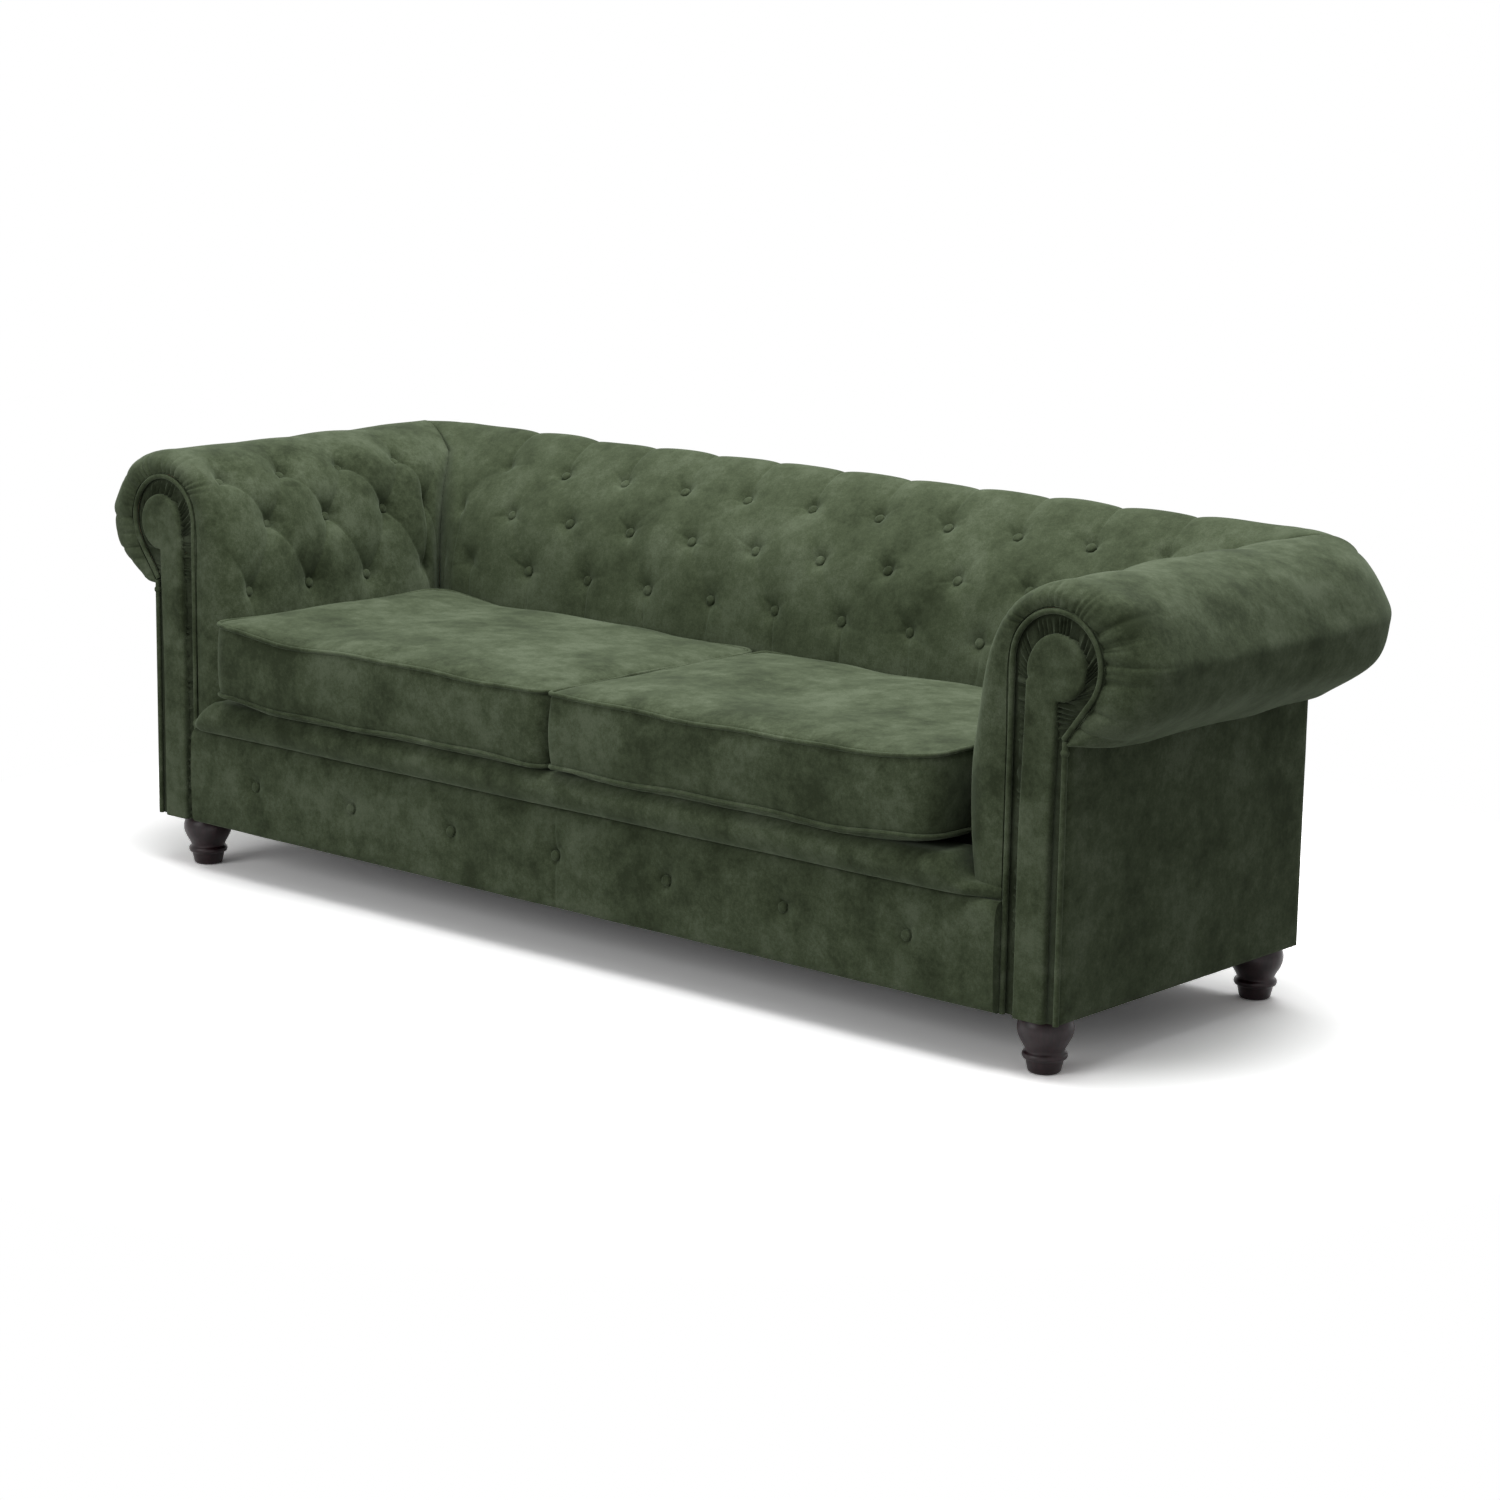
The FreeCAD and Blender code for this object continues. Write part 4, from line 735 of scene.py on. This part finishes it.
# Back pad
surface, stations, turned = back_surface()
sunk = valley(surface, turned)
sunk = np.concatenate([mirrored(sunk), sunk])
surface = np.concatenate([mirrored(surface), surface])
stations = np.concatenate([-stations[:0:-1], stations])
turned = np.concatenate([turned[:0:-1], turned])
normals = outward(surface)
s = stations[:, None]
depth = back_tufts(s / (BACK_PITCH / 2), BACK_V[None, :], BACK_PITCH / 2, BACK_ROW, 2.7)
depth *= (1 - smooth(0.0, 1.0, turned[:, None]))
depth += 0.0014 * lumps(77, surface, 0.2)
skin = surface - normals * (depth * EDGES)[..., None] + sunk
core = surface.copy()
flat = np.abs(stations) <= BACK_END + 1e-6
core[flat, :, 1:] = back_core
core[~flat] = surface[~flat] - normals[~flat] * CORNER_THICK
pad = Build()
pad.grid(skin, flip=True)
other = Build()
add_back_side(other, skin, core)
pad.add(np.vstack(other.points), [f[::-1] for f in other.faces])
add_piece(pad, "back_pad", VELVET_CALM, "back_cover", "back_foam", fill=0.8)
buttons = Build()
for row in (0, 1, 2):
    first = BACK_PITCH / 2 if row == 1 else 0.0
    along = sorted({round(sign * (first + BACK_PITCH * n), 6) for n in range(5) for sign in (1, -1)})
    along = [a for a in along if abs(a) < BACK_END - 0.02]
    for spot, normal in button_spots(surface, normals, stations, along, row):
        add_button(buttons, spot, normal, BACK_SINK)
add_piece(buttons, "back_button_set", VELVET, "back_buttons")


# Scroll fronts

def scroll_line(radius, y, count=120):
    """Line up the inner edge, round the scroll and down to the notch."""
    x = SCROLL_X - radius
    start, end = scroll_foot(radius)
    straight = [(x, z) for z in np.linspace(BASE_Z, SCROLL_Z, count)[:-1]]
    arc = [ring_point(a, radius) for a in np.linspace(180.0, -SCROLL_END, count)]
    tail = [between(start, end, t) for t in np.linspace(0, 0.92, count // 3)[1:]]
    line = np.array(straight + arc + tail)
    return np.stack([line[:, 0], np.full(len(line), y), line[:, 1]], axis=-1)


def facing_line(grow, y, count=120):
    """Outline of the raised facing, from the bottom of its inner edge round to the outer bottom."""
    radius = FACING_HEAD_R + grow
    inner = FACING_IN - grow
    centre = (FACING_OUT, FACING_HEAD_Z)
    straight = [(inner, z) for z in np.linspace(BASE_Z, FACING_HEAD_Z - HEAD_DROP, count)[:-1]]
    first = math.atan2(-HEAD_DROP, -(FACING_OUT - inner)) % (2 * math.pi)
    arc = []
    for a in np.linspace(first, math.radians(-74.0), count):
        wider = smooth(math.radians(150), math.radians(200), a)
        reach = radius + (FACING_OUT - FACING_IN - FACING_HEAD_R) * wider
        arc.append((centre[0] + reach * math.cos(a), centre[1] + reach * math.sin(a)))
    outer = FACING_OUT + 0.0015 + grow
    down = [(outer, z) for z in np.linspace(arc[-1][1] - 0.0005, BASE_Z, count)]
    line = np.array(straight + arc + down)
    low = 1 - smooth(0.34, 0.60, line[:, 1])
    return (np.stack([line[:, 0] - 0.0055 * low, np.full(len(line), y), line[:, 1]], axis=-1),
            len(straight), len(straight) + len(arc))


def add_facing(build, flip):
    levels = [(0.0, 0.0125), (0.0, 0.0050), (-0.0010, 0.0022), (-0.0028, 0.0006), (-0.0055, 0.0),
              (-0.010, -0.0004)]
    grid = np.array([facing_line(grow, y)[0] * flip for grow, y in levels])
    build.grid(grid, around=True, flip=flip[0] < 0)
    # The flat face is closed by strips from the inner side to the outer side.
    last = grid[-1]
    n = len(last)
    faces = []
    for k in range(n // 2 - 1):
        a, b, c, d = k, k + 1, n - 2 - k, n - 1 - k
        faces.append((a, b, c, d) if flip[0] < 0 else (d, c, b, a))
    build.add(last, faces)


RUCHE_Y = 0.0105
RUCHE_COUNT = 400


def add_ruche(build, flip, seed):
    """Recessed pleated strip between the scroll piping and the facing."""
    outer = scroll_line(SCROLL_R - 0.001, RUCHE_Y, RUCHE_COUNT)
    line, head, end = facing_line(0.0, RUCHE_Y, RUCHE_COUNT)
    # Match the strip's inner edge to the outer one: straight, head, tail.
    n_straight = RUCHE_COUNT - 1
    inner = np.empty_like(outer)
    zs = np.minimum(outer[:n_straight, 2], FACING_HEAD_Z - HEAD_DROP)
    inner[:n_straight] = np.stack([np.full(n_straight, FACING_IN), outer[:n_straight, 1], zs], axis=-1)
    rest = len(outer) - n_straight
    arc_inner = line[head:end]
    tail = np.stack([np.full(60, FACING_OUT + 0.0015), np.full(60, RUCHE_Y),
                     np.linspace(arc_inner[-1, 2] - 0.001, NOTCH_Z + 0.006, 60)], axis=-1)
    both = np.concatenate([arc_inner, tail])
    run = path_length(both)
    even = np.linspace(0, run[-1], rest)
    inner[n_straight:] = np.stack([np.interp(even, run, both[:, k]) for k in range(3)], axis=-1)
    run = path_length(outer)
    on_head = smooth(0.44, 0.50, run)
    wobble = 0.55 * np.sin(run * 57.0 + seed) + 0.35 * np.sin(run * 131.0 + seed)
    phase = run / lerp(0.0290, 0.0122, on_head) + wobble
    number = np.floor(phase)
    size = 0.55 + 0.45 * np.abs(np.sin(number * 2.7 + seed))
    wave = (1 - np.abs(2 * (phase - number) - 1)) ** lerp(1.3, 0.8, on_head) * size
    faint = lerp(0.85, 1.0, on_head)
    start = lerp(0.50, 0.26, on_head)
    rows = []
    for k in np.linspace(0, 1, 19):
        p = lerp(outer, inner, k)
        rise = np.clip((k - start * (1.1 - 0.4 * wave)) / (1 - start), 0, 1) ** 0.6
        y = 0.0136 - 0.0100 * faint * wave * rise
        rows.append(np.stack([p[:, 0], y, p[:, 2]], axis=-1))
    grid = np.array(rows) * flip
    build.grid(grid, flip=flip[0] < 0)
    under = grid.copy()[[0, -1]]
    under[..., 1] = 0.0139
    build.grid(under, flip=flip[0] > 0)
    # Plain strip from the post to the side piping.
    edges = [(FACING_OUT - 0.008, 0.0139), (FACING_OUT - 0.008, 0.0115), (BASE_HALF - 0.007, 0.0115),
             (BASE_HALF - 0.003, 0.0139)]
    strip = np.array([[(x, y, z) for x, y in edges] for z in np.linspace(BASE_Z, NOTCH_Z + 0.022, 20)]) * flip
    build.grid(strip, around=True, flip=flip[0] < 0)


for side, word in ((1, "right"), (-1, "left")):
    flip = np.array([side, 1.0, 1.0])
    build = Build()
    add_facing(build, flip)
    add_piece(build, "scroll_facing_" + word, VELVET, "facing_" + word, fill=0.95)
    build = Build()
    add_ruche(build, flip, 0.7 * side)
    # The ruched band and the strip beside the post get the darker velvet: painted shade for their recess.
    add_piece(build, "ruched_band_" + word, VELVET_PAINTED_SHADE, "pleated_band_" + word)
    build = Build()
    build.tube(scroll_line(SCROLL_R, PIPING_Y) * flip, PIPING_R, sides=12)
    add_piece(build, "scroll_cord_" + word, VELVET, "scroll_piping_" + word)

build = Build()
for side in (1, -1):
    x = side * (BASE_HALF - PIPING_R + 0.0005)
    zs = np.linspace(BASE_Z, NOTCH_Z + 0.010, 60)
    build.tube([(x, PIPING_Y, z) for z in zs], PIPING_R, sides=12)
    zs = np.linspace(NOTCH_Z - 0.012, NOTCH_Z - 0.0025, 12)
    fat = PIPING_R * (1.0 + 0.45 * np.sin(np.linspace(0, math.pi, 12)) ** 0.6)
    build.tube([(x, PIPING_Y, z) for z in zs], fat, sides=16)
add_piece(build, "side_cords", VELVET, "side_piping")


# Front border, lip roll and deck

BORDER_HALF = 0.893
BORDER_FRONT = -0.009
BORDER_Z = 0.182
BORDER_PITCH = 0.242


def border_front():
    xs = np.linspace(-BORDER_HALF, BORDER_HALF, 561)
    zs = np.linspace(BASE_Z, RAIL_TOP_Z, 61)
    x, z = np.meshgrid(xs, zs, indexing="ij")
    edge = np.minimum(z - BASE_Z, RAIL_TOP_Z - z)
    soft = np.where(z > BORDER_Z, 0.022, 0.010)
    y = BORDER_FRONT + 0.0105 * (1 - np.sqrt(1 - (1 - np.clip(edge / soft, 0, 1)) ** 2))
    points = np.stack([x, y, z], axis=-1)
    y = y - 0.0016 * np.sin(math.pi * np.clip((z - BASE_Z) / (RAIL_TOP_Z - BASE_Z), 0, 1)) ** 0.8
    y = y + 0.0010 * lumps(5, points, 0.12)
    y = y + 0.0030 * np.exp(-np.abs(x) / 0.0022)
    for n in range(7):
        cx = (n - 3) * BORDER_PITCH
        dx, dz = x - cx, z - BORDER_Z
        r = np.hypot(dx, dz)
        angle = np.arctan2(dz, dx)
        shifted = np.hypot(dx + 0.007, dz - 0.007)
        y = y + 0.0060 * np.exp(-(r / 0.012) ** 2) + 0.0055 * np.exp(-(shifted / 0.026) ** 2)
        for k, (way, size) in enumerate(((2.3, 1.0), (0.75, 0.65), (-2.4, 0.45), (3.6, 0.5), (-0.7, 0.4))):
            off = np.abs((angle - way - 0.2 * math.sin(n * 2.1 + k) + math.pi) % (2 * math.pi) - math.pi) * r
            y = y + 0.0035 * size * np.exp(-off / 0.0030) * np.exp(-r / 0.030) * smooth(0.004, 0.012, r)
    return np.stack([x, np.minimum(y, 0.0125), z], axis=-1)


front = border_front()
back = front.copy()
back[..., 1] = 0.0135
build = Build()
build.grid(front, flip=True)
build.grid(back[::8, ::6])
edge_strips(build, front, back)
add_piece(build, "buttoned_border", VELVET, "front_border", fill=0.9)
build = Build()
for n in range(7):
    spot = np.array([(n - 3) * BORDER_PITCH, BORDER_FRONT, BORDER_Z])
    add_button(build, spot, np.array([0.0, -1.0, 0.0]), 0.0045)
add_piece(build, "border_button_set", VELVET, "border_buttons")

LIP_LOW = RAIL_TOP_Z + 0.0005
LIP_TOP = 0.322


def lip_section(x):
    """Loop of (y, z) points of the lip roll at one place along it."""
    if x > 0:
        top = lerp(LIP_TOP, PAD_BOTTOM_Z - 0.006, float(smooth(0.800, 0.835, x)))
        back = float(smooth(0.795, 0.892, x))
    else:
        top = lerp(LIP_TOP, 0.279, float(smooth(0.815, 0.894, -x)))
        back = 0.75 * float(smooth(0.845, 0.894, -x))
    nose = lerp(-0.030, 0.004, back) + 0.0010 * math.sin(x * 17.0)
    rear = lerp(0.058, 0.0125, float(smooth(0.8895, 0.8905, abs(x))))
    half = (top - LIP_LOW) / 2
    mid = (top + LIP_LOW) / 2
    turns = np.linspace(math.pi / 2, 3 * math.pi / 2, 26)
    deep = lerp(0.024, 0.006, back)
    nose_side = [(nose + deep + deep * math.cos(a),
                  mid + half * math.copysign(abs(math.sin(a)) ** 1.1, math.sin(a))) for a in turns]
    tail = [(0.013, LIP_LOW), (0.0132, LIP_LOW + 0.009), (min(rear, 0.04), LIP_LOW + 0.012),
            (rear, LIP_LOW + 0.026), (rear, top)]
    return np.array(nose_side + tail)


end = np.linspace(0.889, 0.8925, 5)
xs = np.concatenate([-end[::-1], np.linspace(-0.885, 0.885, 240), end])
grid = np.array([[(x, y, z) for y, z in lip_section(x)] for x in xs])
build = Build()
build.grid(grid, around=True, flip=True)
build.loop_cap(grid[0])
build.loop_cap(grid[-1], flip=True)
add_piece(build, "seat_lip", VELVET, "lip_roll", fill=0.9)


def box_grid(x0, x1, y0, y1, z0, z1, puff):
    """Top and bottom of a flat pad whose top swells by puff."""
    x, y = np.meshgrid(np.linspace(x0, x1, 60), np.linspace(y0, y1, 30), indexing="ij")
    a = (x - x0) / (x1 - x0) * 2 - 1
    b = (y - y0) / (y1 - y0) * 2 - 1
    top = z1 - puff + puff * (1 - a ** 8) * (1 - b ** 8)
    return np.stack([x, y, top], axis=-1), np.stack([x, y, np.full(x.shape, z0)], axis=-1)


upper, lower = box_grid(-0.795, 0.795, 0.0585, 0.505, 0.293, 0.322, 0.004)
build = Build()
build.grid(upper)
build.grid(lower, flip=True)
edge_strips(build, upper, lower)
add_piece(build, "seat_deck", CLOTH, "deck_pad", "deck_cover", slot_name="dark_cloth", fill=0.7)


# Loose cushions

C_IN, C_OUT, C_FRONT, C_REAR = 0.002, 0.791, -0.038, 0.503
C_LOW, C_HIGH, C_BOTTOM = 0.334, 0.452, 0.3228


def cushion_plan(a, b, inset, inner_round, spread):
    """Point of the cushion's plan for a and b from -1 to 1, with round corners and drawn-in sides.
    spread moves the outer front corner forward, and half as far outward."""
    w = (C_OUT - C_IN) / 2 - inset
    d = (C_REAR - C_FRONT) / 2 - inset
    x, y = w * a, d * b
    round_r = np.where(a < 0, inner_round, 0.048) - inset
    over_x = np.maximum(np.abs(x) - (w - round_r), 0.0)
    over_y = np.maximum(np.abs(y) - (d - round_r), 0.0)
    most = np.maximum(over_x, over_y)
    length = np.hypot(over_x, over_y)
    shrink = np.where(length > 0, most / np.maximum(length, 1e-9), 1.0)
    x = np.sign(x) * (np.abs(x) - over_x * (1 - shrink)) - 0.003 * a * (1 - b ** 2) * np.abs(a) ** 3
    y = np.sign(y) * (np.abs(y) - over_y * (1 - shrink)) - 0.002 * b * (1 - a ** 2) * np.abs(b) ** 3
    y = y - spread * smooth(0.0, 1.0, a) * smooth(0.2, 1.0, -b)
    x = x + 0.5 * spread * smooth(0.6, 1.0, a) * smooth(0.2, 1.0, -b)
    return (C_IN + C_OUT) / 2 + x, (C_FRONT + C_REAR) / 2 + y


def seam_wave(x, y, seed):
    return (0.0018 * np.sin(x * 13.0 + seed) + 0.0012 * np.sin(x * 31.0 + 2 * seed)
            + 0.0012 * np.sin(y * 23.0 + seed))


def seam_height(x, y, base, lift, seed):
    return base + lift * smooth(0.60, 0.79, x) + seam_wave(x, y, seed)


def cushion(side, word):
    seed = 0.8 if side > 0 else 2.9
    flip = np.array([side, 1.0, 1.0])
    na, nb = 150, 104
    a, b = np.meshgrid(np.linspace(-1, 1, na), np.linspace(-1, 1, nb), indexing="ij")
    a = np.sign(a) * (1 - (1 - np.abs(a)) ** 1.25)
    b = np.sign(b) * (1 - (1 - np.abs(b)) ** 1.25)
    seam_in = 0.007
    inner_round = 0.018 if side > 0 else 0.040
    spread = 0.0 if side > 0 else 0.016
    x, y = cushion_plan(a, b, seam_in, inner_round, spread)
    rim = seam_height(x, y, C_HIGH, 0.016, seed)
    hump = (1 - np.abs(a) ** 4) ** 0.55 * (1 - np.abs(b) ** 4) ** 0.55
    flat = np.stack([x, y, rim], axis=-1)
    soft = hump * (0.0225 + 0.0018 * lumps(int(seed * 7), flat, 0.30))
    ripple = 0.0006 * lumps(int(seed * 11), flat, 0.10) * hump * (1 - hump) * 4
    top = np.stack([x, y, rim + soft + ripple], axis=-1)
    low_rim = seam_height(x, y, C_LOW, 0.010, seed + 2)
    sag = (1 - np.abs(a) ** 6) ** 0.6 * (1 - np.abs(b) ** 6) ** 0.6
    bottom = np.stack([x, y, np.maximum(low_rim - sag * 0.03, C_BOTTOM)], axis=-1)

    def border(grid):
        return np.concatenate([grid[:-1, 0], grid[-1, :-1], grid[:0:-1, -1], grid[0, :0:-1]])

    high_line, low_line = border(top), border(bottom)
    aa, bb = border(np.stack([a, b], axis=-1)).T
    wide_x, wide_y = cushion_plan(aa, bb, 0.0, inner_round, spread)
    rear = smooth(0.85, 0.97, bb)      # the boxing lies flat behind, where the zip is sewn in
    rows = []
    for t in np.linspace(0, 1, 15):
        swell = math.sin(math.pi * t) ** 0.55
        x = lerp(high_line[:, 0], wide_x, swell)
        y = lerp(high_line[:, 1], wide_y, swell)
        z = lerp(low_line[:, 2], high_line[:, 2], t)
        p = np.stack([x, y, z], axis=-1)
        out = np.stack([wide_x - high_line[:, 0], wide_y - high_line[:, 1], np.zeros(len(x))], axis=-1)
        out /= np.maximum(np.linalg.norm(out, axis=1, keepdims=True), 1e-9)
        loose = 0.0011 * lumps(int(seed * 13), p, 0.09) * (1 - rear) - 0.0008 - 0.0016 * rear
        rows.append(p + out * loose[:, None] * swell)
    boxing = np.array(rows)
    build = Build()
    build.grid(top * flip, flip=side < 0)
    build.grid(bottom * flip, flip=side > 0)
    build.grid(boxing * flip, around=True, flip=side < 0)
    body = "seat_cushion_" + word
    add_piece(build, "seat_cushion_cover_" + word, VELVET, "cushion_cover_" + word, "cushion_core_" + word,
              body=body, fill=0.85)
    build = Build()
    for line in (high_line, low_line):
        mid_x, mid_y = cushion_plan(aa, bb, seam_in - 0.0028, inner_round, spread)
        path = np.stack([mid_x, mid_y, line[:, 2]], axis=-1) * flip
        build.tube(path, 0.0036, closed=True, sides=10, across=(0.0, 0.0, 1.0))
    add_piece(build, "cushion_cord_" + word, VELVET, "cushion_piping_" + word, body=body)


cushion(1, "right")
cushion(-1, "left")


# Outer panels

def soft_panel(name, origin, wide, tall, out, width, height, thick, puff, rounding, *stands_for):
    """Thin upholstered panel with soft edges. origin is its lower left corner, out its outward direction."""
    a, b = np.meshgrid(np.linspace(0, 1, 90), np.linspace(0, 1, 70), indexing="ij")
    origin, wide, tall, out = (np.array(v, float) for v in (origin, wide, tall, out))
    flat = origin + a[..., None] * width * wide + b[..., None] * height * tall
    edge = np.minimum(np.minimum(a, 1 - a) * width, np.minimum(b, 1 - b) * height)
    rise = thick - rounding * (1 - np.sqrt(1 - (1 - np.clip(edge / rounding, 0, 1)) ** 2))
    rise = rise + puff * (np.sin(math.pi * a) * np.sin(math.pi * b)) ** 0.7
    rise = rise + 0.0005 * lumps(len(name), flat, 0.15)
    face = flat + rise[..., None] * out
    build = Build()
    turned = np.dot(np.cross(wide, tall), out) <= 0
    build.grid(face, flip=turned)
    build.grid(flat[::10, ::10], flip=not turned)
    edge_strips(build, face, flat, turned)
    add_piece(build, name, VELVET, *stands_for)


PANEL_IN = BASE_HALF - 0.0035
for side, word in ((1, "right"), (-1, "left")):
    soft_panel("side_panel_" + word, (side * PANEL_IN, 0.014, BASE_Z), (0, 1, 0), (0, 0, 1), (side, 0, 0),
               BASE_DEPTH - 0.014, NOTCH_Z + 0.012 - BASE_Z, 0.0035, 0.003, 0.004, "outer_arm_panel_" + word)
soft_panel("rear_panel", (-PANEL_IN, BASE_DEPTH - 0.0035, BASE_Z), (1, 0, 0), (0, 0, 1), (0, 1, 0),
           2 * PANEL_IN, NOTCH_Z - 0.0005 - BASE_Z, 0.0035, 0.003, 0.004, "outer_back_panel")


# Turned feet

FOOT_PROFILE = [(0.0, 0.0), (0.0225, 0.0), (0.0245, 0.0018), (0.0255, 0.004), (0.0285, 0.018),
                (0.0292, 0.0205), (0.0300, 0.0212), (0.0330, 0.0222), (0.0345, 0.0252), (0.0345, 0.0282),
                (0.0330, 0.0312), (0.0302, 0.0328), (0.0300, 0.0345), (0.0312, 0.038), (0.0345, 0.044),
                (0.0385, 0.051), (0.0415, 0.058), (0.0430, 0.065), (0.0430, 0.071), (0.0418, 0.077),
                (0.0395, 0.083), (0.0375, 0.0875), (0.0368, 0.0918)]


def add_foot(build, x, y):
    turns = np.arange(48) * 2 * math.pi / 48
    ring = np.stack([np.cos(turns), np.sin(turns), np.zeros(48)], axis=-1)
    rings = [ring * radius + np.array([x, y, z]) for radius, z in FOOT_PROFILE]
    build.grid(np.array(rings), around=True)
    build.loop_cap(rings[-1])


for word, y in (("front", 0.065), ("rear", 0.630)):
    build = Build()
    for x in (0.937, -0.937):
        add_foot(build, x, y)
    add_piece(build, "turned_feet_" + word, STAIN, word + "_feet", slot_name="stained_wood")


# Floor, light and camera

def stage_plane(name, size, place, material):
    mesh = bpy.data.meshes.new(name)
    h = size / 2
    mesh.from_pydata([(-h, -h, 0), (h, -h, 0), (h, h, 0), (-h, h, 0)], [], [(0, 1, 2, 3)])
    mesh.materials.append(material)
    obj = bpy.data.objects.new(name, mesh)
    obj.location = place
    bpy.context.scene.collection.objects.link(obj)
    obj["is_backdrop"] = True


def seen(tree):
    """1 for what the camera, a mirror or a glass shows, and 0 for the light that falls on the object."""
    ray = tree.nodes.new("ShaderNodeLightPath")
    both = maths(tree, "MAXIMUM", ray.outputs["Is Camera Ray"], ray.outputs["Is Glossy Ray"])
    return maths(tree, "MAXIMUM", both, ray.outputs["Is Transmission Ray"])


def mix_shaders(tree, factor, a, b):
    """Shader a where the factor is 0, and b where it is 1."""
    m = tree.nodes.new("ShaderNodeMixShader")
    for value, socket in zip((factor, a.outputs[0], b.outputs[0]), m.inputs):
        link(tree, value, socket)
    return m


floor_mat, tree, bsdf = new_material("floor")
bsdf.inputs["Roughness"].default_value = 1.0
bsdf.inputs["Specular IOR Level"].default_value = 0.0
bsdf.inputs["Base Color"].default_value = (0.32, 0.32, 0.32, 1.0)
shown = tree.nodes.new("ShaderNodeBsdfDiffuse")
shown.inputs["Color"].default_value = (1.7, 1.7, 1.7, 1.0)
white = tree.nodes.new("ShaderNodeEmission")
coords = tree.nodes.new("ShaderNodeTexCoord").outputs["Object"]
far = tree.nodes.new("ShaderNodeVectorMath")
far.operation = "LENGTH"
link(tree, coords, far.inputs[0])
reach = tree.nodes.new("ShaderNodeMapRange")
reach.inputs["From Min"].default_value = 1.25
reach.inputs["From Max"].default_value = 1.75
link(tree, far.outputs["Value"], reach.inputs["Value"])
near = mix_shaders(tree, reach.outputs["Result"], shown, white)
both = mix_shaders(tree, seen(tree), bsdf, near)
link(tree, both.outputs[0], tree.nodes["Material Output"].inputs["Surface"])
stage_plane("floor", 60.0, (0, 0, -0.0005), floor_mat)

world = bpy.data.worlds.new("studio")
bpy.context.scene.world = world
world.use_nodes = True
tree = world.node_tree
background = tree.nodes["Background"]
background.inputs["Color"].default_value = (1.0, 1.0, 1.0, 1.0)
background.inputs["Strength"].default_value = 0.35
bright = tree.nodes.new("ShaderNodeBackground")
bright.inputs["Color"].default_value = (1.0, 1.0, 1.0, 1.0)
bright.inputs["Strength"].default_value = 1.0
both = mix_shaders(tree, seen(tree), background, bright)
link(tree, both.outputs[0], tree.nodes["World Output"].inputs["Surface"])


def area_light(name, place, target, size, power):
    lamp = bpy.data.lights.new(name, "AREA")
    lamp.shape = "RECTANGLE"
    lamp.size, lamp.size_y = size
    lamp.energy = power
    obj = bpy.data.objects.new(name, lamp)
    obj.location = place
    way = Vector(target) - Vector(place)
    obj.rotation_euler = way.to_track_quat("-Z", "Y").to_euler()
    bpy.context.scene.collection.objects.link(obj)


area_light("key", (0.3, 0.1, 3.6), (0.0, 0.0, 0.4), (4.2, 3.0), 165.0)
area_light("front", (-1.2, -5.0, 2.2), (0.0, 0.0, 0.4), (3.0, 2.0), 70.0)

cam_data = bpy.data.cameras.new("camera")
camera = bpy.data.objects.new("camera", cam_data)
bpy.context.scene.collection.objects.link(camera)
bpy.context.scene.camera = camera
# The camera was fitted to the photograph: place in the part's drawing frame, angles and focal length.
CAMERA_PLACE = (4.0019, -4.1792, 1.5746)
PHOTO_PIXELS = 1500
FOCAL_PIXELS = 3659.45
yaw, pitch, roll = (math.radians(a) for a in (40.70, 11.86, 0.93))
forward = np.array([-math.sin(yaw) * math.cos(pitch), math.cos(yaw) * math.cos(pitch), -math.sin(pitch)])
right = np.array([math.cos(yaw), math.sin(yaw), 0.0])
up = np.cross(right, forward)
right2 = math.cos(roll) * right + math.sin(roll) * up
up2 = -math.sin(roll) * right + math.cos(roll) * up
camera.matrix_world = Matrix((
    (right2[0], up2[0], -forward[0], CAMERA_PLACE[0]),
    (right2[1], up2[1], -forward[1], CAMERA_PLACE[1] + FRONT),
    (right2[2], up2[2], -forward[2], CAMERA_PLACE[2]),
    (0.0, 0.0, 0.0, 1.0)))
cam_data.sensor_width = 36.0
cam_data.lens = FOCAL_PIXELS / PHOTO_PIXELS * cam_data.sensor_width
cam_data.clip_end = 200.0

bpy.context.scene.view_settings.view_transform = "Standard"
{"cad": cad_box, "visual": plain_box(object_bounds())}
